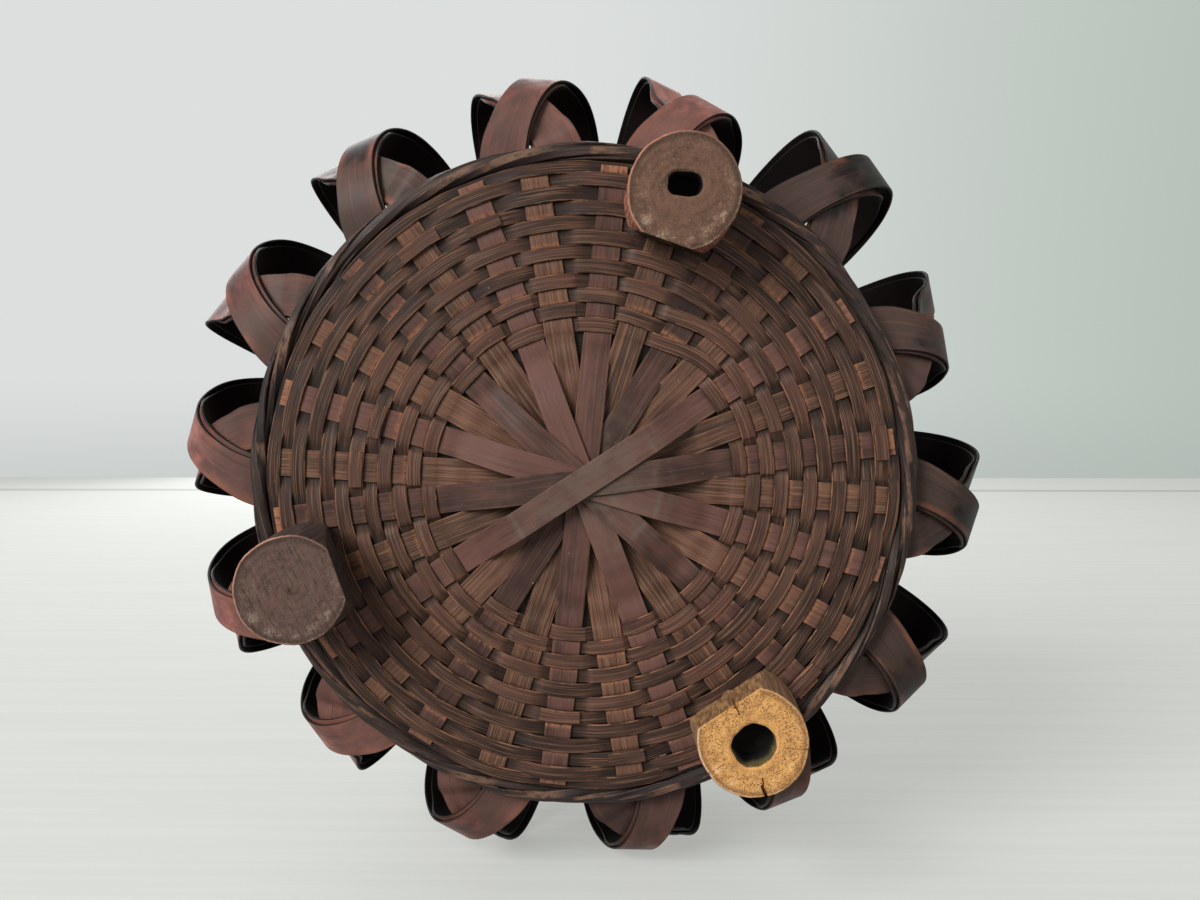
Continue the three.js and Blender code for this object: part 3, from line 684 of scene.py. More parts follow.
def twisted_border(name, node, turns, strand_count, strip_width, strip_thickness, seed, look):
    """A rope of flat strips laid in the place of a round border solid. Look is +1 for a rope seen from
    above and -1 for one seen from below: the side of each strand turned away from there is painted dark, as painted
    shade."""
    low, high = box_mm(node)
    size = high[2] - low[2]
    middle = (low[2] + high[2]) / 2
    ring = high[0] - size / 2
    draw = random.Random(seed)
    laid = []
    for k in range(strand_count):
        angles = np.arange(0, 360, 1.0)
        swell = 1 + 0.16 * np.sin(3 * angles * RAD + draw.uniform(0, TURN))
        own = 0.2 * np.sin(draw.randint(5, 9) * angles * RAD + draw.uniform(0, TURN))
        twist = turns * angles * RAD + TURN * k / strand_count + 0.25 * np.sin(4 * angles * RAD + seed) + own
        wave_count, wave_start = draw.randint(7, 13), draw.uniform(0, TURN)
        reach = (size / 2 - strip_thickness / 2 - 0.2) * (0.84 + 0.16 * np.sin(wave_count * angles * RAD
                                                                               + wave_start))
        out = np.stack([np.cos(angles * RAD), np.sin(angles * RAD), np.zeros_like(angles)], axis=-1)
        up = np.array([0, 0, 1.0])
        facing = np.cos(twist)[:, None] * out + np.sin(twist)[:, None] * up
        points = out * ring + up * middle + facing * reach[:, None]
        # Painted shade on the side of each strand that turns away from the side the rope is seen from
        shown = 0.5 * np.cos(twist) + 0.87 * look * np.sin(twist)
        away_side_shade = smooth((0.6 - shown) / 0.45)
        worn = 0.8 * np.exp(-(((look * np.sin(twist) - 1) / 0.07) ** 2)) * (np.sin(5 * angles * RAD + 2 * k) > 0)
        laid.append(strand(points, facing, draw.uniform(0.1, 1.1), swell, worn, away_side_shade, closed=True))
    piece = strips(name, laid, strip_width, strip_thickness, border_finish, edge=0.2, wander=0.6,
                   wander_size=9, seed=seed)
    settle(piece, [node])
    core = strand(out * ring + up * middle, up, 0.5, closed=True)
    settle(strips(f"{name}_core", [core], 3.2, 3.2, shade_dark_finish, edge=1.4, steps=3), [node])


twisted_border("base_border_strands", "base_border", 4, 9, 2.3, 0.8, 11, -1)
twisted_border("rim_border_strands", "rim_border", 5, 9, 2.5, 0.8, 12, 1)

# %% [markdown]
# A loop is one broad strip, skin side out, bent round from the foot of the wall to the hoops above.
# Two loops leave each gap between spokes and cross: the inner one slips through the outer one. Each
# is really two layers of strip bent together, which shows as two dark edges with a pale line between.

# %% Shape of the loops
loop_pairs = 14
loop_phase = -21.4
loop_width = 13.6
loop_solid_thickness = 2.0
loop_reach = 141.5
loop_height = 62.0
loop_cross_gap = 1.35
lower_end_gap = 11.0
neighbour_gap = 4.3
loop_lean = 1.0  # how far the upper ends stand to the inner loop's side
slant_power = 1.8  # above 1, a loop makes most of its sideways way early
loop_roll, roll_sharpness = 10.0, 5  # degrees that a strip leans over at the middle of its loop
straight_share, cross_from, cross_ease = 0.05, 0.08, 0.065
swell_from, swell_ease, fade_from, fade_ease = 0.42, 0.22, 0.66, 0.26
hoop_depth = 3.0
border_size = 7.0
# Each hand-bent pair's own reach and turn, and how far its inner loop swells out past the crossing
reach_trim = [-6.2, 4, -5.1, -2.9, -1, 1.2, 0.3, 1.2, -5.2, -1.4, -2, -0.4, 2.1, -1.2]
turn_trim = [-0.2, -1.1, -0.4, 0, -1.1, -1, 0.7, 1, 1.8, 1.5, -0.3, 1.2, 2.3, 1.2]
inner_swell = [8.5, 1.5, 7.6, 1.5, 4.5, 7.5, 1.5, 1.6, 6.4, 1.5, 4, 1.8, 4.5, 4.2]

lower_end = base_bottom + border_size + touch + loop_solid_thickness / 2
upper_end = lower_end + loop_height
lower_shift = (loop_width + lower_end_gap) / 2 / (base_radius + border_size)
upper_shift = math.pi / loop_pairs - (loop_width + neighbour_gap) / 2 / wall_outside(upper_end)
lean_turn = loop_lean / wall_outside(upper_end)
inner_start = 2.4 / (base_radius + border_size)  # an inner strip starts this much nearer to the outer one
tuck_in = 2.5  # how far a loop's ends go on into the wall


def loop_profile(t, reach):
    """Radius, height and tilt of a loop's middle: straight out, half an ellipse, straight back"""
    high = loop_height / 2
    start = wall_outside(lower_end + 1) + touch
    stop = wall_outside(upper_end + 1) + touch
    bend_start = wall_outside(upper_end) + hoop_depth + 3 * touch
    wide = reach - loop_solid_thickness / 2 - bend_start
    leg_out, leg_back = bend_start - start, bend_start - stop
    arc = math.pi * (wide + high) / 2
    length = leg_out + arc + leg_back
    s = t * length - tuck_in * (1 - t) + tuck_in * t
    a = np.clip(math.pi * (s - leg_out) / arc, 0, math.pi)
    r = bend_start + wide * np.sin(a) - np.clip(leg_out - s, 0, None) - np.clip(s - leg_out - arc, 0, None)
    z = lower_end + high * (1 - np.cos(a))
    return r, z, np.arctan2(high * np.sin(a), wide * np.cos(a)), np.clip(s / length, 0, 1)


def sweep_at(t):
    """Share of its sideways way that a loop has made"""
    u = (1 + straight_share) * t * t / (t + straight_share)
    return 1 - (1 - u) ** slant_power


def inset_at(pair, t):
    """How far the inner loop lies inside the outer one's profile. Below zero it lies outside."""
    inside = (loop_solid_thickness + loop_cross_gap) * smooth((t - cross_from) / cross_ease)
    outside = inner_swell[pair] * (1 - smooth((t - fade_from) / fade_ease))
    change = smooth((t - swell_from) / swell_ease)
    return inside * (1 - change) - outside * change


def loop_path(pair, side, proud=0.0, slide=0.0, sprung=0.0, points=64):
    """Points and facing of one layer. Side is +1 for the outer loop of a pair and -1 for the inner."""
    r, z, tilt, t = loop_profile(np.linspace(0, 1, points), loop_reach + reach_trim[pair])
    inset = 0 if side > 0 else inset_at(pair, t)
    inset = inset - proud - sprung * np.sin(np.clip((t - 0.12) / 0.7, 0, 1) * math.pi) ** 2
    turn = loop_phase - 360 / loop_pairs * pair + turn_trim[pair]
    sweep = sweep_at(t)
    start = lower_shift - (0 if side > 0 else inner_start)
    shift = -start + (start + upper_shift) * sweep
    angle = turn * RAD + side * shift - lean_turn * sweep + slide / np.maximum(r, 1)
    radius = r - inset * np.sin(tilt)
    place = np.stack([radius * np.cos(angle), radius * np.sin(angle), z + inset * np.cos(tilt)], axis=-1)
    outward = np.stack([np.sin(tilt) * np.cos(angle), np.sin(tilt) * np.sin(angle), -np.cos(tilt)], axis=-1)
    along = np.gradient(place, axis=0)
    along /= np.linalg.norm(along, axis=1)[:, None]
    facing = outward - (outward * along).sum(axis=1)[:, None] * along
    facing /= np.linalg.norm(facing, axis=1)[:, None]
    across = np.cross(facing, along)
    roll = (loop_roll * RAD * np.sin(math.pi * t) ** roll_sharpness)[:, None]
    return place, facing * np.cos(roll) - across * np.sin(roll)


# %% [markdown]
# The loops carry the best of the skin: glossy where hands and cloth have polished it, red to plum
# with darker clouds, and grey-brown and duller near the border. Their inner side is painted near
# black as painted shade, so the material changes with the side of the strip, which the section attribute gives.

# %% Finish of the loops


def loop_finish():
    """Smoked and lacquered bamboo skin"""
    material, tree, shader = new_material("Lacquered bamboo skin, loop")
    spot, across, outer, tone = strip_place(tree)
    along = add(tree, "ShaderNodeAttribute", attribute_name="along").outputs["Fac"]
    mottle = between(tree, pattern(tree, spot, 12, 6, 4.0), 0.34, 0.66)
    black = blended(tree, mottle, linear("#120d0c"), linear("#281a19"))
    plum = blended(tree, mottle, linear("#432725"), linear("#6c3e39"))
    red = blended(tree, mottle, linear("#784640"), linear("#a2685d"))
    shade = add(tree, "ShaderNodeMath", {0: pattern(tree, spot, 30, 14, 2.0), 1: tone}, operation="ADD").outputs[0]
    base = blended(tree, between(tree, shade, 0.5, 0.95), black, plum)
    base = blended(tree, between(tree, shade, 0.95, 1.5), base, red)
    near = add(tree, "ShaderNodeMath", {0: along, 1: pattern(tree, spot, 10, 6, 2.0)}, operation="DIVIDE")
    grey_end = between(tree, near.outputs[0], 0.1, 0.045)
    base = blended(tree, product(tree, grey_end, 0.7), base, linear("#4b3c35"))
    fibres = pattern(tree, spot, 40, 0.5, 4.0, 0.6)
    base = blended(tree, product(tree, between(tree, fibres, 0.52, 0.7), 0.22), base, linear("#80574a"))
    base = blended(tree, product(tree, between(tree, fibres, 0.42, 0.28), 0.55), base, linear("#2a1716"))
    size = add(tree, "ShaderNodeMath", {0: across}, operation="ABSOLUTE").outputs[0]
    near_edge = between(tree, size, loop_width / 2 - 3.4, loop_width / 2 - 0.6)
    rubbed = between(tree, pattern(tree, spot, 14, 4, 3.0), 0.46, 0.68, 0.0, 0.55)
    base = blended(tree, product(tree, near_edge, rubbed), base, linear("#87503c"))
    # Painted shade: the strip's inner side is painted near black
    inside = between(tree, outer, 0.0002, 0.00005)
    base = blended(tree, inside, base, linear("#130e0c"))
    edge_face = between(tree, size, loop_width / 2 - 0.3, loop_width / 2 - 0.12)
    base = blended(tree, edge_face, base, linear("#15100e"))
    tree.links.new(base, shader.inputs["Base Color"])
    dull = add(tree, "ShaderNodeMath", {0: grey_end, 1: inside}, operation="MAXIMUM").outputs[0]
    tree.links.new(between(tree, dull, 0.0, 1.0, 0.46, 0.64), shader.inputs["Roughness"])
    bump = add(tree, "ShaderNodeBump", {"Height": fibres, "Strength": 0.7, "Distance": 0.05 * MM})
    tree.links.new(bump.outputs[0], shader.inputs["Normal"])
    shader.inputs["Specular IOR Level"].default_value = 0.14
    shader.inputs["Coat Weight"].default_value = 0.04
    shader.inputs["Coat Roughness"].default_value = 0.25
    return material


loop_material = loop_finish()

# %% [markdown]
# Every loop is its own piece, as in the basket. The two layers of a loop never match exactly: one is
# shifted a little along the edge. On one pair, at the upper right, the outer layer has sprung away.

# %% Loops
layer_thickness = 0.85
layer_slide = 1.1  # the inner layer stands this far out on the side where the loop opens
layer_return = 3.2  # and comes back this far by its upper half, so that it lines the mouth of the loop
# Tone of each pair's two strips, from 0 for nearly black to 1 for worn red: partly depth of stain and partly painted
# light, as the tones follow each pair's brightness, so the high tones at index 2 are a painted sheen and the low outer
# tone at index 1 is painted shade
outer_stain_and_light_tones = [0.15, -0.15, 1.4, 0.5, 0.15, 0.35, 0.75, 0.75, 1.3, 0.75, 0.7, 0.6, -0.18, -0.12]
inner_stain_and_light_tones = [0.3, 0.1, 1.2, 0.5, 0.1, 0.45, 0.6, 0.95, 0.9, 0.75, 0.35, 0.7, 0.1, -0.25]
sprung_pair = 1
for pair in range(loop_pairs):
    for side, kind in ((1, "outer"), (-1, "inner")):
        node = f"loop_{kind}_{pair + 1:02d}"
        tone = (outer_stain_and_light_tones if side > 0 else inner_stain_and_light_tones)[pair]
        layers = []
        for proud in (0.55, -0.75):
            way = np.linspace(0, 1, 64)
            slide = rng.uniform(-0.3, 0.3)
            if proud < 0:
                slide = slide + side * (layer_slide - layer_return * smooth((way - 0.4) / 0.2))
            sprung = 2.4 if pair == sprung_pair and side > 0 and proud > 0 else 0.0
            points, facing = loop_path(pair, side, proud, slide, sprung, len(way))
            broad = 1 + 0.1 * smooth(way / 0.05) * (1 - smooth((way - 0.08) / 0.12)) + 0.06 * smooth((way - 0.5) / 0.2)
            layers.append(strand(points, facing, tone + rng.uniform(-0.05, 0.05), broad))
        piece = strips(f"{node}_layers", layers, loop_width, layer_thickness, loop_material, edge=0.22,
                       wander=0.8, wander_size=35, seed=pair)
        settle(piece, [node])

# %% [markdown]
# Three thin hoops hold the loops' ends against the wall, and a broad pair clamps the wall's top. Each
# is a shaved strip bent round and lapped at its ends. Cane ties hold the rim pair together.

# %% Hoops and rim


def hoop(name, node, width, depth, lap_turn, seed):
    """A strip bent into a ring in the place of a hoop solid, its thinned ends lapped"""
    low, high = box_mm(node)
    z = (low[2] + high[2]) / 2
    radius = high[0] - depth / 2
    lap = 14.0
    angles = np.arange(0, 360 + lap, 1.5)
    thin = np.minimum(smooth(angles / lap), smooth((360 + lap - angles) / lap))
    offset = depth * 0.24 * (smooth((lap - angles) / lap * 2) - smooth((angles - 360) / lap * 2))
    out = np.stack([np.cos((angles + lap_turn) * RAD), np.sin((angles + lap_turn) * RAD),
                    np.zeros_like(angles)], axis=-1)
    points = out * (radius + offset)[:, None] + np.array([0, 0, z])
    piece = strips(name, [strand(points, out, 0.5, 0.55 + 0.45 * thin)], width, depth, hoop_finish,
                   edge=0.7, steps=3, seed=seed, sharp=50)
    settle(piece, [node])


for k, (level, lap_turn) in enumerate((("lower", 70), ("middle", 200), ("upper", 320))):
    hoop(f"hoop_{level}", f"loop_hoop_{level}", 4.0, 3.0, lap_turn, 40 + k)


def rim_hoop(name, node, width, depth, lap_turn):
    """A broad hoop that leans with the wall"""
    low, high = box_mm(node)
    z = (low[2] + high[2]) / 2
    radius = high[0] - depth / 2 - math.tan(wall_lean) * width / 2
    lap = 16.0
    angles = np.arange(0, 360 + lap, 1.5)
    thin = np.minimum(smooth(angles / lap), smooth((360 + lap - angles) / lap))
    offset = depth * 0.22 * (smooth((lap - angles) / lap * 2) - smooth((angles - 360) / lap * 2))
    facing = wall_facing(angles + lap_turn)
    out = np.stack([np.cos((angles + lap_turn) * RAD), np.sin((angles + lap_turn) * RAD),
                    np.zeros_like(angles)], axis=-1)
    points = out * (radius + offset)[:, None] + np.array([0, 0, z])
    return strand(points, facing, 0.5, 0.6 + 0.4 * thin)


settle(strips("rim_hoop_inside", [rim_hoop("in", "rim_hoop_inner", 9, 3, 250)], 9, 2.8, hoop_finish,
              edge=0.8, steps=3, sharp=50), ["rim_hoop_inner"])
settle(strips("rim_hoop_outside", [rim_hoop("out", "rim_hoop_outer", 9, 3, 30)], 9, 2.8, hoop_finish,
              edge=0.8, steps=3, sharp=50), ["rim_hoop_outer"])

# %% Cane ties round the rim hoops
rim_low, rim_high = box_mm("rim_hoop_outer")
rim_middle = (rim_low[2] + rim_high[2]) / 2
tie_half_height = (rim_high[2] - rim_low[2]) / 2 + 0.9
tie_half_depth = wall_thickness / 2 + touch + 3 + 0.7


def tie(angle, slant):
    """A flat cane that goes once round both rim hoops and the wall between them"""
    a = np.linspace(0, TURN, 40, endpoint=False)
    corner = 4.0  # high powers make the oval nearly a rectangle
    c, s = np.cos(a), np.sin(a)
    size = (np.abs(c) ** corner + np.abs(s) ** corner) ** (-1 / corner)
    across, up = tie_half_depth * c * size, tie_half_height * s * size
    turn = (angle + slant * np.sin(a)) * RAD
    radius = wall_outside(rim_middle) - wall_middle + across + np.tan(wall_lean) * up
    points = np.stack([radius * np.cos(turn), radius * np.sin(turn), rim_middle + up], axis=-1)
    outward = np.stack([c ** 3 * np.cos(turn), c ** 3 * np.sin(turn), s ** 3], axis=-1)
    outward /= np.linalg.norm(outward, axis=1)[:, None]
    return strand(points, outward, rng.uniform(0.3, 0.8), closed=True)


ties = [tie((spoke_angles[i] + spoke_angles[(i + 1) % spoke_count] + 360 * (i + 1 == spoke_count)) / 2, 1.1)
        for i in range(spoke_count)]
settle(strips("rim_ties", ties, 3.4, 0.7, border_finish, edge=0.2, seed=51), ["rim_hoop_outer"])

# %% [markdown]
# The handle is three slim bamboo stems side by side, bent over the basket in one arch and pegged
# inside the rim. A stem has a raised ring at each node of growth, so the swept tube swells there.

# %% Handle rods
rod_boxes = [box_mm(f"handle_rod_{k + 1}") for k in range(3)]
rod_diameter = rod_boxes[1][1][1] - rod_boxes[1][0][1]
rod_radius = 3.5
rod_pitch = 7.3
handle_top = rod_boxes[1][1][2]
rim_hoop_top = rim_high[2]
rim_hoop_bottom = rim_low[2]


def clear_of(round_inside):
    """Distance along X at which the side rods still clear a round wall"""
    return math.sqrt((round_inside - touch - rod_radius) ** 2 - rod_pitch ** 2)


rim_inside = clear_of(wall_outside(rim_hoop_bottom) - 2 * wall_thickness - touch)
foot_inside = min(clear_of(wall_outside(wall_bottom) - wall_thickness), rim_inside)
handle_power = 2 / 2.3


def handle_points(y, count=260):
    """Points along the middle of a rod, evenly spaced"""
    arch_height = handle_top - rod_radius - rim_hoop_top
    a = np.linspace(0, math.pi, 160)
    x = -np.sign(np.cos(a)) * rim_inside * np.abs(np.cos(a)) ** handle_power
    z = rim_hoop_top + arch_height * np.sin(a) ** handle_power
    leg = np.linspace(0, 1, 40, endpoint=False)
    leg_x = -(foot_inside + (rim_inside - foot_inside) * leg)
    leg_z = base_top + touch + (rim_hoop_top - base_top - touch) * leg
    path = np.concatenate([np.stack([leg_x, leg_z], -1), np.stack([x, z], -1),
                           np.stack([-leg_x, leg_z], -1)[::-1]])
    length = np.concatenate([[0], np.cumsum(np.linalg.norm(np.diff(path, axis=0), axis=1))])
    at = np.linspace(0, length[-1], count)
    px, pz = np.interp(at, length, path[:, 0]), np.interp(at, length, path[:, 1])
    return np.stack([px, np.full(count, y), pz], -1), at


# %% Finish and making of the rods


def stem_finish():
    """Slim bamboo stem, stained dark and polished by hands"""
    material, tree, shader = new_material("Stained bamboo stem")
    spot, _, _, tone = strip_place(tree)
    clouds = pattern(tree, spot, 30, 6, 3.0)
    base = blended(tree, between(tree, clouds, 0.35, 0.65), linear("#3a2520"), linear("#6b4234"))
    streak = pattern(tree, spot, 60, 0.6, 4.0)
    base = blended(tree, product(tree, between(tree, streak, 0.52, 0.7), 0.45), base, linear("#8f6148"))
    wear = add(tree, "ShaderNodeAttribute", attribute_name="wear").outputs["Fac"]
    base = blended(tree, product(tree, wear, 0.7), base, linear("#9c7250"))
    tree.links.new(base, shader.inputs["Base Color"])
    tree.links.new(between(tree, clouds, 0.3, 0.7, 0.28, 0.42), shader.inputs["Roughness"])
    bump = add(tree, "ShaderNodeBump", {"Height": streak, "Strength": 0.6, "Distance": 0.05 * MM})
    tree.links.new(bump.outputs[0], shader.inputs["Normal"])
    shader.inputs["Coat Weight"].default_value = 0.2
    shader.inputs["Coat Roughness"].default_value = 0.25
    return material


stem_material = stem_finish()
node_spacing = 74.0
for k, y in enumerate((-rod_pitch, 0, rod_pitch)):
    points, at = handle_points(y)
    tangent = np.gradient(points, axis=0)
    facing = np.stack([-tangent[:, 2], np.zeros(len(at)), tangent[:, 0]], -1)
    facing /= np.linalg.norm(facing, axis=1)[:, None]
    knot = np.abs((at - 21 * k) % node_spacing - node_spacing / 2)
    ring = np.exp(-((knot / 1.6) ** 2))
    breadth = 0.965 + 0.05 * ring - 0.02 * np.exp(-(((knot - 3.2) / 1.4) ** 2))
    rod = strips(f"handle_stem_{k + 1}", [strand(points, facing, 0.4 + 0.1 * k, breadth, ring * 0.8)],
                 2 * rod_radius, 2 * rod_radius, stem_material, edge=rod_radius, steps=5, seed=60 + k,
                 sharp=60)
    settle(rod, [f"handle_rod_{k + 1}"])

# %% [markdown]
# Rattan is wound round the three rods at the crown and both shoulders to keep them together. The
# winding is a single flat cane whose turns lie side by side round an outline with two round ends.

# %% Windings


def cane_finish():
    """Split rattan cane, dark with pale pores and a soft shine"""
    material = strip_finish("Stained rattan cane", "#241a16", "#4a372c", "#7a6149", "#8d6a48", 1.3,
                            grain=0.3, streaks=0.5, edge_wear=0.5, rough=(0.4, 0.55), coat=0.12)
    return material


cane_material = cane_finish()
winding_half_wide = rod_pitch + rod_radius + 0.5 + 0.75
winding_half_thick = rod_radius + 0.5 + 0.75
cane_width = 2.7
winding_turns = 9
winding_length = 26.0


def winding(name, node, place, seed):
    """A cane wound round the rods, centred at a place along the handle"""
    middle, at = handle_points(0)
    tangents = np.gradient(middle, axis=0)
    tangents /= np.linalg.norm(tangents, axis=1)[:, None]
    total = at[-1]
    per_turn = 44
    count = winding_turns * per_turn
    progress = np.linspace(0, 1, count)
    where = place * total + (progress - 0.5) * (winding_length - cane_width)
    centre = np.stack([np.interp(where, at, middle[:, c]) for c in range(3)], -1)
    tangent = np.stack([np.interp(where, at, tangents[:, c]) for c in range(3)], -1)
    wide = np.array([0, 1.0, 0])
    thick = np.cross(tangent, wide)
    straight = winding_half_wide - winding_half_thick
    perimeter = 4 * straight + TURN * winding_half_thick
    s = (progress * winding_turns % 1) * perimeter
    outline, normal = np.zeros((count, 2)), np.zeros((count, 2))
    for k, d in enumerate(s):
        if d < 2 * straight:
            outline[k], normal[k] = (straight - d, winding_half_thick), (0, 1)
        elif d < 2 * straight + math.pi * winding_half_thick:
            a = math.pi / 2 + (d - 2 * straight) / winding_half_thick
            normal[k] = (math.cos(a), math.sin(a))
            outline[k] = (-straight + winding_half_thick * normal[k][0], winding_half_thick * normal[k][1])
        elif d < 4 * straight + math.pi * winding_half_thick:
            e = d - 2 * straight - math.pi * winding_half_thick
            outline[k], normal[k] = (-straight + e, -winding_half_thick), (0, -1)
        else:
            a = -math.pi / 2 + (d - 4 * straight - math.pi * winding_half_thick) / winding_half_thick
            normal[k] = (math.cos(a), math.sin(a))
            outline[k] = (straight + winding_half_thick * normal[k][0], winding_half_thick * normal[k][1])
    points = centre + outline[:, :1] * wide + outline[:, 1:] * thick
    facing = normal[:, :1] * wide + normal[:, 1:] * thick
    piece = strips(name, [strand(points, facing, 0.5)], cane_width, 1.1, cane_material, edge=0.35,
                   steps=2, seed=seed, sharp=45)
    settle(piece, [node])


winding("winding_crown", "handle_winding_crown", 0.5, 71)
winding("winding_left", "handle_winding_left", 0.3, 72)
winding("winding_right", "handle_winding_right", 0.7, 73)

# %% [markdown]
# Turned and carved pieces, such as pegs, feet and the water tube, are stacks of rings joined with
# faces and closed at both ends. The function checks that the skin faces outwards by its volume.

# %% Ring stacks


def stacked(name, rings, finish, sharp=35, marks=None):
    """A closed body through equal rings of points, with named values kept on its points"""
    rings = [np.asarray(ring, float) for ring in rings]
    sides, count = len(rings[0]), len(rings)
    points = np.concatenate(rings + [rings[0].mean(0)[None], rings[-1].mean(0)[None]])
    first, last = sides * count, sides * count + 1
    faces = []
    for i in range(count - 1):
        for j in range(sides):
            k = (j + 1) % sides
            faces.append((i * sides + j, i * sides + k, (i + 1) * sides + k, (i + 1) * sides + j))
    for j in range(sides):
        k = (j + 1) % sides
        faces.append((first, k, j))
        faces.append((last, (count - 1) * sides + j, (count - 1) * sides + k))
    volume = 0.0
    for face in faces:
        for b, c in zip(face[1:], face[2:]):
            volume += np.dot(points[face[0]], np.cross(points[b], points[c]))
    if volume < 0:
        faces = [face[::-1] for face in faces]
    data = bpy.data.meshes.new(name)
    data.from_pydata((points * MM).tolist(), [], faces)
    for key, values in (marks or {}).items():
        flat = np.concatenate([np.asarray(v, float).ravel() for v in values])
        ends = [np.mean(values[0]), np.mean(values[-1])]
        data.attributes.new(key, "FLOAT", "POINT").data.foreach_set(
            "value", np.concatenate([flat, ends]).astype(np.float32))
    data.shade_smooth()
    data.set_sharp_from_angle(angle=sharp * RAD)
    data.materials.append(finish)
    piece = bpy.data.objects.new(name, data)
    bpy.context.scene.collection.objects.link(piece)
    print(name, len(faces), "faces")
    return piece


def turned_rings(outline, sides, centre=(0, 0)):
    """Rings of a turned body from its outline of radius and height"""
    a = np.arange(sides) / sides * TURN
    return [np.stack([centre[0] + r * np.cos(a), centre[1] + r * np.sin(a), np.full(sides, z)], -1)
            for r, z in outline]


# %% [markdown]
# The feet are short ends of bamboo root, sawn across. A sawn root shows dense dots, which are cut
# bundles of fibre, a skin of another colour round the edge, and cracks that run out from the middle
# where it dried. Foot 1 and foot 3 are hollow in the middle, and foot 2 is solid.

# %% Shape of the feet
foot_plan = {
    "foot_1": {"turn": -70.9, "pare": (1.6, 4.6), "hollow": (5.3, 3.7, 4), "off": (0.1, -2.0), "square": 3.0},
    "foot_2": {"turn": 160.8, "pare": (1.8, 6.4), "hollow": None, "off": (0, 0), "square": 2},
    "foot_3": {"turn": 55.9, "pare": (4.2, 7.2), "hollow": (7.1, 6.7, -40), "off": (0.3, 1.0), "square": 2.2},
}
foot_ring = 95.6
foot_radius = 17.6
foot_shoulder = 0.6
hollow_depth = 12.0
foot_sides = 300
# Cracks of each foot: turn in the foot's own plan, start and end radius, width and depth
foot_cracks = {
    "foot_1": [],
    "foot_2": [],
    "foot_3": [(246, 12.2, 20, 0.7, 4.0), (244, 10.2, 13, 0.3, 1.2), (77, 14.2, 20, 0.55, 3.5),
               (76, 11.8, 15, 0.28, 1.6), (8, 10.5, 20, 0.2, 0.8), (143, 11, 20, 0.2, 0.7)],
}


def foot_outer(plan, a, level, name_seed):
    """Radius of a foot's side at a turn and a level from 0 at the floor to 1 at the basket"""
    inward = (plan["turn"] + 180) * RAD
    radius = foot_radius + foot_shoulder * level
    pare = plan["pare"][0] * (1 - level) + (plan["pare"][1] + foot_shoulder) * level
    facing = np.cos(a - inward)
    whole = radius * (1 + 0.02 * np.cos(2 * (a - inward)))
    cut = np.where(facing > 0.1, (radius - pare) / np.maximum(facing, 0.1), 1e3)
    bark = 0.14 * np.sin(5 * a + name_seed) + 0.08 * np.sin(11 * a + 2 * name_seed + 3 * level)
    grain = 0.03 * np.sin(41 * a + name_seed) * (cut > whole)
    return np.minimum(whole + bark * 0.7, cut) + grain, cut < whole


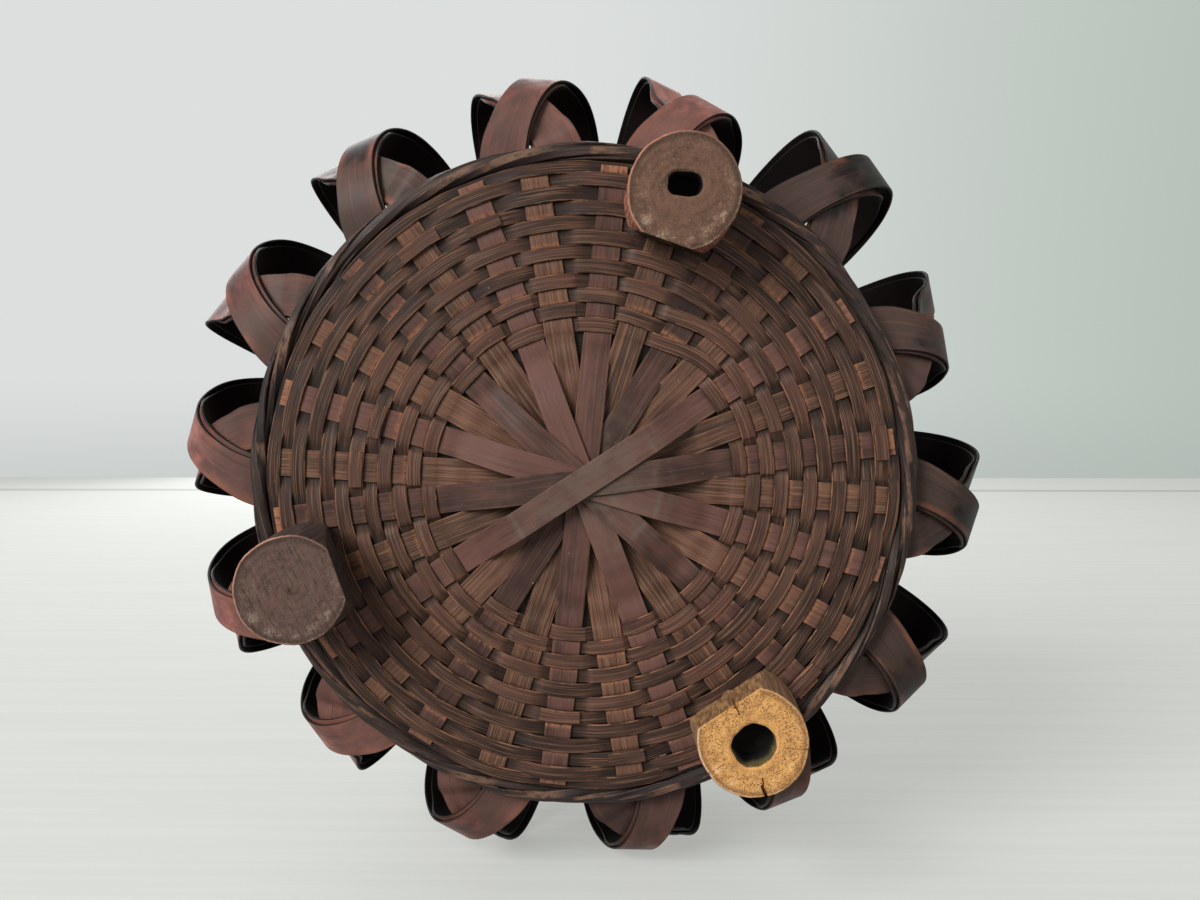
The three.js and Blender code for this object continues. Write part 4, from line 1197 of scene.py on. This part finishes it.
def foot_piece(name, finish):
    """A carved foot, as rings from the basket's side down its wall, across its face and into its hollow"""
    plan = foot_plan[name]
    name_seed = {"foot_1": 1.0, "foot_2": 2.3, "foot_3": 4.1}[name]
    a = np.arange(foot_sides) / foot_sides * TURN
    centre = foot_ring * np.array([math.cos(plan["turn"] * RAD), math.sin(plan["turn"] * RAD)])
    draw = np.random.default_rng(int(name_seed * 10))
    stations = []  # scale of the outer radius, level, height, zone
    for share in (0.35, 0.8, 0.97):
        stations.append((share, 1.0, foot_height, 1))
    stations.append((1.0, 0.97, foot_height - 0.5, 1))
    for level in np.linspace(0.92, 0.06, 14):
        stations.append((1.0, level, foot_height * level, 1))
    stations.append((1.0, 0.02, 0.5, 1))
    stations.append((0.985, 0.0, 0.12, 0))
    rings, zones, rims = [], [], []
    cracks = foot_cracks[name]

    def crack_depth(angle, radius):
        """How deep the cracks go at a place on the face"""
        depth = np.zeros_like(angle)
        for turn, start, stop, width, deep in cracks:
            wobble = 0.014 * np.sin(radius * 1.1 + turn)
            away = np.abs((angle - turn * RAD + wobble + math.pi) % TURN - math.pi) * radius
            within = smooth((radius - start + 0.6) / 0.8) * smooth((stop + 0.8 - radius) / 0.8)
            depth = np.maximum(depth, deep * within * np.exp(-((away / (width * 0.6)) ** 2)))
        return depth

    def put(radius, z, zone, rim, moved=0.0):
        x, y = centre + np.array(plan["off"]) * moved
        rings.append(np.stack([x + radius * np.cos(a), y + radius * np.sin(a),
                               np.broadcast_to(z, a.shape)], -1))
        zones.append(np.full(foot_sides, float(zone)))
        rims.append(np.broadcast_to(rim, a.shape))

    for share, level, z, zone in stations:
        outer, pared = foot_outer(plan, a, level, name_seed)
        crack = crack_depth(a, outer) if level < 0.9 else 0
        fade = 1 - 0.5 * level
        put(outer * share - crack * fade * 0.6, z, zone, 6.0 * pared)
    outer, pared = foot_outer(plan, a, 0.0, name_seed)
    if plan["hollow"]:
        long, short, turn = plan["hollow"]
        c = np.abs(np.cos(a - turn * RAD)) / long
        s = np.abs(np.sin(a - turn * RAD)) / short
        inner = (c ** plan["square"] + s ** plan["square"]) ** (-1 / plan["square"])
        inner = inner * (1 + 0.015 * np.sin(5 * a + name_seed) + 0.01 * np.sin(11 * a))
    else:
        inner = np.full(foot_sides, 0.4)
    face_rings = 46
    for k in range(face_rings + 1):
        share = k / face_rings
        radius = (outer - 0.45) * (1 - share) + inner * share
        crack = crack_depth(a, radius)
        rough = 0.05 * np.sin(radius * 2.3 + 4 * a) + draw.normal(0, 0.02, foot_sides)
        dip = 0.35 * smooth((share - 0.93) / 0.07) if plan["hollow"] else 0.0
        z = np.clip(0.06 + rough, 0, None) + crack + dip
        put(radius, z, 0, outer - radius + 2.0 * pared, share ** 2)
    if plan["hollow"]:
        for k in range(1, 12):
            depth = k / 11
            rough = 1 + draw.normal(0, 0.008, foot_sides) + 0.03 * np.sin(6 * a + 5 * depth)
            put(inner * rough * (1 - 0.1 * depth), 0.5 + (hollow_depth - 0.5) * depth, 2, 9.0, 1.0)
        put(inner * 0.5, hollow_depth + 0.2, 2, 9.0, 1.0)
        put(inner * 0.1, hollow_depth, 2, 9.0, 1.0)
    piece = stacked(f"{name}_root", rings, finish, sharp=40, marks={"zone": zones, "from_edge": rims})
    return piece


# %% [markdown]
# The face of a foot needs its pattern in the plane of the cut, while its side needs bark grain that
# runs up and down. Object coordinates give both, because every piece keeps its true place, and two
# attributes say which surface is which and how far a point lies from the skin.

# %% Finish of the feet


def foot_finish(name, centre, face_dark, face_mid, face_pale, skin, inner_wall, dots, dot_size, saw,
                side_dark, side_pale, pared_dark, pared_pale, dot="#2a1a12", scuffed="#ae947b"):
    """Sawn bamboo root. Dots is how strong the cut fibre bundles show, and saw how strong the saw lines."""
    material, tree, shader = new_material(name)
    coords = add(tree, "ShaderNodeTexCoord").outputs["Object"]
    spot = add(tree, "ShaderNodeMapping", {"Vector": coords, "Location": tuple(-c for c in centre),
                                           "Scale": (1 / MM,) * 3}, vector_type="POINT")
    spot.inputs["Location"].default_value = tuple(-c / MM for c in centre)
    place = spot.outputs[0]
    zone = add(tree, "ShaderNodeAttribute", attribute_name="zone").outputs["Fac"]
    from_edge = add(tree, "ShaderNodeAttribute", attribute_name="from_edge").outputs["Fac"]
    clouds = add(tree, "ShaderNodeTexNoise", {"Vector": place, "Scale": 0.2, "Detail": 7.0,
                                              "Roughness": 0.72}).outputs["Fac"]
    face = blended(tree, between(tree, clouds, 0.3, 0.56), linear(face_dark), linear(face_mid))
    speck = add(tree, "ShaderNodeTexNoise", {"Vector": place, "Scale": 1.6, "Detail": 4.0,
                                             "Roughness": 0.7}).outputs["Fac"]
    face = blended(tree, product(tree, between(tree, speck, 0.55, 0.7), 0.55), face, linear(face_pale))
    cells = add(tree, "ShaderNodeTexVoronoi", {"Vector": place, "Scale": 1 / dot_size, "Randomness": 1.0},
                feature="F1").outputs["Distance"]
    bundle = product(tree, between(tree, cells, 0.4, 0.22), between(tree, from_edge, 10.5, 6.5, 0.3, 1.0))
    face = blended(tree, product(tree, bundle, dots), face, linear(dot))
    weathered = product(tree, between(tree, from_edge, 3.6, 1.0), between(tree, clouds, 0.42, 0.6))
    face = blended(tree, product(tree, weathered, 0.7), face, linear(face_dark))
    part = add(tree, "ShaderNodeSeparateXYZ", {0: place}).outputs
    scuff = product(tree, between(tree, from_edge, 8.0, 1.5), between(tree, speck, 0.35, 0.65, 0.35, 1.0))
    scuff = product(tree, scuff, between(tree, clouds, 0.5, 0.62))
    scuff = product(tree, scuff, between(tree, part["Y"], -8, 8, 0.15, 0.9))
    face = blended(tree, scuff, face, linear(scuffed))
    turned = add(tree, "ShaderNodeMapping", {"Vector": place, "Rotation": (0, 0, -26 * RAD),
                                             "Scale": (0.8, 9, 10)}, vector_type="TEXTURE")
    lines = add(tree, "ShaderNodeTexNoise", {"Vector": turned.outputs[0], "Scale": 1.0, "Detail": 3.0,
                                             "Roughness": 0.7}).outputs["Fac"]
    face = blended(tree, product(tree, between(tree, lines, 0.54, 0.68), 0.6 * saw), face, linear(face_pale))
    face = blended(tree, product(tree, between(tree, lines, 0.43, 0.36), 1.3 * saw), face, linear("#2b1e19"))
    # A dark band inside the skin, and the skin itself, whose colour is real but is shown on the left side only, as
    # painted light from the left
    band = product(tree, between(tree, from_edge, 0.5, 0.9), between(tree, from_edge, 2.6, 1.2))
    face = blended(tree, product(tree, band, between(tree, speck, 0.38, 0.58, 0.1, 0.75)), face, linear(dot))
    skin_lit_left = product(tree, between(tree, clouds, 0.3, 0.6, 0.4, 1.0), between(tree, part["X"], 6, -8, 0.25, 1.0))
    face = blended(tree, product(tree, between(tree, from_edge, 0.7, 0.35), skin_lit_left), face, linear(skin))
    tall = add(tree, "ShaderNodeMapping", {"Vector": place, "Scale": (0.9, 0.9, 0.06)})
    bark = add(tree, "ShaderNodeTexNoise", {"Vector": tall.outputs[0], "Scale": 1.0, "Detail": 5.0,
                                            "Roughness": 0.65}).outputs["Fac"]
    streaky = between(tree, bark, 0.38, 0.62)
    side = blended(tree, streaky, linear(side_dark), linear(side_pale))
    cut_side = blended(tree, streaky, linear(pared_dark), linear(pared_pale))
    side = blended(tree, between(tree, from_edge, 2.0, 4.0), side, cut_side)
    lit_wall = product(tree, between(tree, part["Z"], 7.0, 2.5), between(tree, bark, 0.3, 0.6, 0.5, 1.0))
    hollow = blended(tree, lit_wall, linear("#120d0a"), linear(inner_wall))
    base = blended(tree, between(tree, zone, 0.2, 0.8), face, side)
    base = blended(tree, between(tree, zone, 1.2, 1.8), base, hollow)
    tree.links.new(base, shader.inputs["Base Color"])
    tree.links.new(between(tree, clouds, 0.3, 0.7, 0.72, 0.88), shader.inputs["Roughness"])
    rise = add(tree, "ShaderNodeMath", {0: product(tree, bundle, -0.7 * dots), 1: speck}, operation="ADD")
    rise = add(tree, "ShaderNodeMath", {0: rise.outputs[0], 1: product(tree, lines, saw)}, operation="ADD")
    rise = add(tree, "ShaderNodeMath", {0: rise.outputs[0], 1: bark}, operation="ADD")
    bump = add(tree, "ShaderNodeBump", {"Height": rise.outputs[0], "Strength": 0.8, "Distance": 0.25 * MM})
    tree.links.new(bump.outputs[0], shader.inputs["Normal"])
    shader.inputs["Specular IOR Level"].default_value = 0.3
    return material


def foot_centre(name):
    """Middle of a foot, in metres"""
    turn = foot_plan[name]["turn"] * RAD
    return (foot_ring * math.cos(turn) * MM, foot_ring * math.sin(turn) * MM, 0.0)


foot_looks = {
    # Brown fibrous cut face, pink-orange skin; its pared side is painted near black, as painted shade
    "foot_1": foot_finish("Sawn bamboo root, brown", foot_centre("foot_1"), "#463125", "#634737", "#84654f",
                          "#a5725c", "#1c1511", 0.25, 0.7, 0.2, "#5c3a2d", "#a2674f", "#17110e", "#2e221c",
                          scuffed="#a08a74"),
    # Grey-brown face with the saw's slanting lines; its sides are painted dark, as painted shade
    "foot_2": foot_finish("Sawn bamboo root, grey", foot_centre("foot_2"), "#392a24", "#564037", "#766053",
                          "#b07c66", "#1c1511", 0.15, 0.7, 0.6, "#261a16", "#44302a", "#1d1613", "#352a25",
                          scuffed="#8a796d"),
    # Golden tan face with dense dark dots, olive inside the hollow
    "foot_3": foot_finish("Sawn bamboo root, tan", foot_centre("foot_3"), "#9a6b3f", "#c99456", "#dfb076",
                          "#cba78c", "#5f5630", 0.95, 0.56, 0.1, "#6b4c36", "#94704f", "#5f4129", "#98724a",
                          dot="#63421f", scuffed="#dcb180"),
}
for name in foot_plan:
    settle(foot_piece(name, foot_looks[name]), [name])

# %% [markdown]
# Pegs hold the feet and pins hold the handle. They are whittled from pale bamboo, so they taper a little
# and their heads are rounded at the edge.

# %% Pegs and pins


def peg_finish():
    """Whittled bamboo, lightly stained, with fibres along its length"""
    material, tree, shader = new_material("Whittled bamboo")
    coords = add(tree, "ShaderNodeTexCoord").outputs["Object"]
    fine = add(tree, "ShaderNodeMapping", {"Vector": coords, "Scale": (2000, 2000, 160)})
    fibres = add(tree, "ShaderNodeTexNoise", {"Vector": fine.outputs[0], "Scale": 1.0, "Detail": 4.0})
    base = blended(tree, between(tree, fibres.outputs["Fac"], 0.35, 0.65), linear("#5e4029"),
                   linear("#94704a"))
    tree.links.new(base, shader.inputs["Base Color"])
    tree.links.new(between(tree, fibres.outputs["Fac"], 0.3, 0.7, 0.5, 0.68), shader.inputs["Roughness"])
    bump = add(tree, "ShaderNodeBump", {"Height": fibres.outputs["Fac"], "Strength": 0.6,
                                        "Distance": 0.08 * MM})
    tree.links.new(bump.outputs[0], shader.inputs["Normal"])
    return material


peg_material = peg_finish()


def peg_outline(radius, start, neck, head_radius, head_height):
    """Outline of a peg from its tip to the top of its rounded head"""
    return [(radius * 0.3, start), (radius * 0.8, start + 0.1), (radius * 0.96, start + 0.7), (radius, start + 2),
            (radius, neck), (head_radius - 0.5, neck), (head_radius, neck + 0.4),
            (head_radius, neck + head_height - 0.8), (head_radius - 0.7, neck + head_height - 0.2),
            (head_radius * 0.5, neck + head_height), (head_radius * 0.1, neck + head_height)]


for name in foot_plan:
    low, high = box_mm(f"{name}_peg")
    centre = (low[:2] + high[:2]) / 2
    outline = peg_outline(3.0, low[2], high[2] - 2.5, 5.4, 2.5)
    peg = stacked(f"{name}_peg_turned", turned_rings(outline, 40, centre), peg_material)
    settle(peg, [f"{name}_peg"])

for end, where in ((-1, "left"), (1, "right")):
    low, high = box_mm(f"rim_pin_{where}")
    inner_end, outer_end = (high[0], low[0]) if end < 0 else (low[0], high[0])
    length = abs(outer_end - inner_end)
    outline = peg_outline(1.6, 0.0, length - 2, 3.1, 2.0)
    rings = turned_rings(outline, 32)
    along_x = [np.stack([inner_end + end * ring[:, 2], ring[:, 1], rim_middle + ring[:, 0]], -1)
               for ring in rings]
    settle(stacked(f"rim_pin_{where}_turned", along_x, peg_material), [f"rim_pin_{where}"])

# %% [markdown]
# The water tube is one joint of a thick bamboo stem. The wall between two joints of the stem makes
# its floor, and the ring of the node shows outside near the foot. It lifts out, so it rides alone.

# %% Water tube
tube_low, tube_high = box_mm("water_tube")
tube_radius = tube_high[0]
tube_bore = 26.0
tube_floor = 6.0


def tube_finish():
    """Bamboo stem: smooth tan skin outside with faint long fibres, pale pith inside"""
    material, tree, shader = new_material("Bamboo stem, oiled")
    coords = add(tree, "ShaderNodeTexCoord").outputs["Object"]
    spot = add(tree, "ShaderNodeVectorMath", {0: coords, "Scale": 1 / MM}, operation="SCALE").outputs[0]
    tall = add(tree, "ShaderNodeMapping", {"Vector": spot, "Scale": (1.1, 1.1, 0.03)})
    fibres = add(tree, "ShaderNodeTexNoise", {"Vector": tall.outputs[0], "Scale": 1.0, "Detail": 5.0,
                                              "Roughness": 0.6}).outputs["Fac"]
    clouds = add(tree, "ShaderNodeTexNoise", {"Vector": spot, "Scale": 0.05, "Detail": 4.0}).outputs["Fac"]
    skin = blended(tree, between(tree, clouds, 0.35, 0.65), linear("#7d5f3c"), linear("#a98a59"))
    skin = blended(tree, product(tree, between(tree, fibres, 0.52, 0.7), 0.4), skin, linear("#c5a877"))
    skin = blended(tree, product(tree, between(tree, fibres, 0.45, 0.3), 0.5), skin, linear("#5c4227"))
    dots = add(tree, "ShaderNodeTexVoronoi", {"Vector": spot, "Scale": 1.1}).outputs["Distance"]
    cut = blended(tree, product(tree, between(tree, dots, 0.32, 0.18), 0.7), linear("#c6a671"),
                  linear("#5e4225"))
    zone = add(tree, "ShaderNodeAttribute", attribute_name="zone").outputs["Fac"]
    base = blended(tree, between(tree, zone, 0.4, 0.6), skin, cut)
    pith = blended(tree, between(tree, fibres, 0.4, 0.6), linear("#8a6c45"), linear("#b3935f"))
    base = blended(tree, between(tree, zone, 1.4, 1.6), base, pith)
    tree.links.new(base, shader.inputs["Base Color"])
    tree.links.new(between(tree, zone, 0.2, 1.0, 0.36, 0.7), shader.inputs["Roughness"])
    bump = add(tree, "ShaderNodeBump", {"Height": fibres, "Strength": 0.5, "Distance": 0.1 * MM})
    tree.links.new(bump.outputs[0], shader.inputs["Normal"])
    return material


bottom, top = tube_low[2], tube_high[2]
tube_outline = [(3, bottom, 1), (15, bottom, 1), (29.2, bottom, 1), (30.1, bottom + 0.25, 1),
                (30.6, bottom + 1.0, 0), (30.7, bottom + 4, 0), (30.55, bottom + 9.0, 0),
                (30.4, bottom + 10.2, 0), (30.95, bottom + 11.2, 0), (31.0, bottom + 12.0, 0),
                (30.9, bottom + 12.8, 0), (30.45, bottom + 13.8, 0), (30.6, bottom + 17, 0)]
tube_outline += [(30.6 + 0.3 * t, bottom + 17 + (top - bottom - 19) * t, 0) for t in np.linspace(0.1, 1, 12)]
tube_outline += [(30.6, top - 0.8, 0), (30.0, top - 0.15, 1), (29.2, top, 1), (tube_bore + 0.8, top, 1),
                 (tube_bore + 0.2, top - 0.2, 1), (tube_bore, top - 1, 2), (tube_bore, top - 40, 2),
                 (tube_bore, bottom + tube_floor + 4, 2), (tube_bore - 1.4, bottom + tube_floor + 1.2, 2),
                 (tube_bore - 5, bottom + tube_floor + 0.2, 2), (8, bottom + tube_floor, 2),
                 (2, bottom + tube_floor, 2)]
tube_sides = 96
around = np.arange(tube_sides) / tube_sides * TURN
tube_rings, tube_zones = [], []
for r, z, zone in tube_outline:
    oval = r * (1 + 0.006 * np.cos(2 * around)) if 20 < r else np.full(tube_sides, r)
    oval = np.minimum(oval, tube_radius)
    tube_rings.append(np.stack([oval * np.cos(around), oval * np.sin(around), np.full(tube_sides, z)], -1))
    tube_zones.append(np.full(tube_sides, float(zone)))
tube_piece = stacked("water_tube_stem", tube_rings, tube_finish(), marks={"zone": tube_zones})
settle(tube_piece, ["water_tube"], body="tube")

# %% [markdown]
# The basket lies on its side on a pale table, its base towards the camera. The table is a plane that
# the loops touch, and another pale plane lies under the feet for views from above. Each shows only
# from its front and only to the camera, so that neither hides the basket from the lamps.

# %% Stage


def pale_wood_finish(name, front, seam=None):
    """Pale painted wood with faint grain, and a seam across it where one is given."""
    material, tree, shader = new_material(name)
    coords = add(tree, "ShaderNodeTexCoord").outputs["Object"]
    long = add(tree, "ShaderNodeMapping", {"Vector": coords, "Scale": front})
    grain = add(tree, "ShaderNodeTexNoise", {"Vector": long.outputs[0], "Scale": 1.0, "Detail": 6.0,
                                             "Roughness": 0.6}).outputs["Fac"]
    base = blended(tree, between(tree, grain, 0.4, 0.6), linear("#d4d6d1"), linear("#d7d9d4"))
    if seam:
        far = add(tree, "ShaderNodeSeparateXYZ", {0: coords}).outputs["Z"]
        near_side = between(tree, far, seam - 0.02, seam - 0.005)
        line = product(tree, near_side, between(tree, far, seam + 0.02, seam + 0.005))
        base = blended(tree, product(tree, line, 0.6), base, linear("#a9aca8"))
    tree.links.new(base, shader.inputs["Base Color"])
    shader.inputs["Roughness"].default_value = 0.75
    glow = add(tree, "ShaderNodeEmission", {"Color": base, "Strength": 0.9}).outputs[0]
    pale_part = product(tree, add(tree, "ShaderNodeLightPath").outputs["Is Camera Ray"], 0.6)
    front_side = add(tree, "ShaderNodeMixShader", {0: pale_part, 1: shader.outputs[0], 2: glow}).outputs[0]
    clear = add(tree, "ShaderNodeBsdfTransparent").outputs[0]
    behind = add(tree, "ShaderNodeNewGeometry").outputs["Backfacing"]
    seen = add(tree, "ShaderNodeMixShader", {0: behind, 1: front_side, 2: clear})
    output = next(n for n in tree.nodes if n.bl_idname == "ShaderNodeOutputMaterial")
    tree.links.new(seen.outputs[0], output.inputs["Surface"])
    return material


def plane(name, corners, finish):
    """A flat stage piece from four corners, in millimetres"""
    data = bpy.data.meshes.new(name)
    data.from_pydata([tuple(c * MM for c in corner) for corner in corners], [], [(0, 1, 2, 3)])
    data.materials.append(finish)
    piece = bpy.data.objects.new(name, data)
    bpy.context.scene.collection.objects.link(piece)
    for flag in ("visible_diffuse", "visible_glossy", "visible_transmission", "visible_shadow"):
        setattr(piece, flag, False)
    return piece


side_reach = cad_box[1].y / MM + 0.6
table_back = 1418.0
plane("table", [(-2500, side_reach, -900), (2500, side_reach, -900), (2500, side_reach, table_back),
                (-2500, side_reach, table_back)], pale_wood_finish("Pale table", (5, 5, 160), seam=1.24))
plane("floor", [(-2500, -2500, 0), (2500, -2500, 0), (2500, 2500, 0), (-2500, 2500, 0)],
      pale_wood_finish("Pale floor", (3, 60, 3)))

# %% [markdown]
# The photograph was taken from in front of the base, a little above the basket's axis, with a normal
# phone lens. Tilt and distance came from how far the feet and the loops lie off the base's centre.

# %% Camera
pitch, yaw = 4.34 * RAD, -0.58 * RAD
photo_width = 1200
focal_pixels = 1100
camera_place = (9.26, -37.66, -334.86)
camera_data = bpy.data.cameras.new("camera")
camera_data.sensor_width = 36
camera_data.lens = camera_data.sensor_width * focal_pixels / photo_width
camera_data.clip_start, camera_data.clip_end = 0.01, 20
camera = bpy.data.objects.new("camera", camera_data)
bpy.context.scene.collection.objects.link(camera)
ahead = np.array([math.sin(yaw) * math.cos(pitch), math.sin(pitch), math.cos(yaw) * math.cos(pitch)])
right = np.cross(ahead, (0, -1, 0))
right /= np.linalg.norm(right)
up = np.cross(right, ahead)
matrix = np.eye(4)
matrix[:3, 0], matrix[:3, 1], matrix[:3, 2] = right, up, -ahead
matrix[:3, 3] = np.array(camera_place) * MM
camera.matrix_world = Matrix(matrix.tolist())
bpy.context.scene.camera = camera

# %% [markdown]
# Light comes mostly from the left and a little above, through a large soft window, with weaker light
# all round. The world shows as a pale wall to the camera and lights the object at a lower level.

# %% Lights and world


def soft_light(name, place, aim, size, power):
    """A square soft box"""
    data = bpy.data.lights.new(name, "AREA")
    data.shape, data.size, data.energy = "SQUARE", size * MM, power
    lamp = bpy.data.objects.new(name, data)
    bpy.context.scene.collection.objects.link(lamp)
    lamp.location = [c * MM for c in place]
    towards = np.array(aim, float) - np.array(place, float)
    lamp.rotation_mode = "QUATERNION"
    lamp.rotation_quaternion = Vector(towards).to_track_quat("-Z", "Y")
    return lamp


soft_light("window", (-2550, -1980, -2620), (0, 0, 60), 2300, 270)
soft_light("room", (1900, -700, -1500), (0, 0, 60), 1700, 18)
soft_light("overhead", (-300, -500, 1300), (0, 0, 120), 1200, 15)

world = bpy.data.worlds.new("studio")
bpy.context.scene.world = world
world.use_nodes = True
tree = world.node_tree
tree.nodes.clear()
ray = add(tree, "ShaderNodeLightPath").outputs
straight = add(tree, "ShaderNodeMath", {0: ray["Is Camera Ray"], 1: ray["Is Transmission Ray"]},
               operation="MAXIMUM")
seen = add(tree, "ShaderNodeMath", {0: straight.outputs[0], 1: ray["Is Glossy Ray"]}, operation="MAXIMUM")
way = add(tree, "ShaderNodeTexCoord").outputs["Generated"]
part = add(tree, "ShaderNodeSeparateXYZ", {0: way}).outputs
# Painted shade on the wall: darker towards the right, away from the window, and down towards the table
wall_colour = blended(tree, between(tree, part["X"], -0.1, 0.62), linear("#dcdfde"), linear("#b2bdb4"))
wall_shade_low = between(tree, part["Y"], 0.0, 0.11, 0.0, 0.4)
wall_colour = blended(tree, wall_shade_low, wall_colour, linear("#aab0ad"))
wall_light = add(tree, "ShaderNodeBackground", {"Color": wall_colour, "Strength": 1.0})
fill_light = add(tree, "ShaderNodeBackground", {"Color": linear("#e4e6e6"), "Strength": 0.28})
mixed = add(tree, "ShaderNodeMixShader", {0: seen.outputs[0], 1: fill_light.outputs[0],
                                          2: wall_light.outputs[0]})
add(tree, "ShaderNodeOutputWorld", {"Surface": mixed.outputs[0]})
bpy.context.scene.view_settings.view_transform = "Standard"
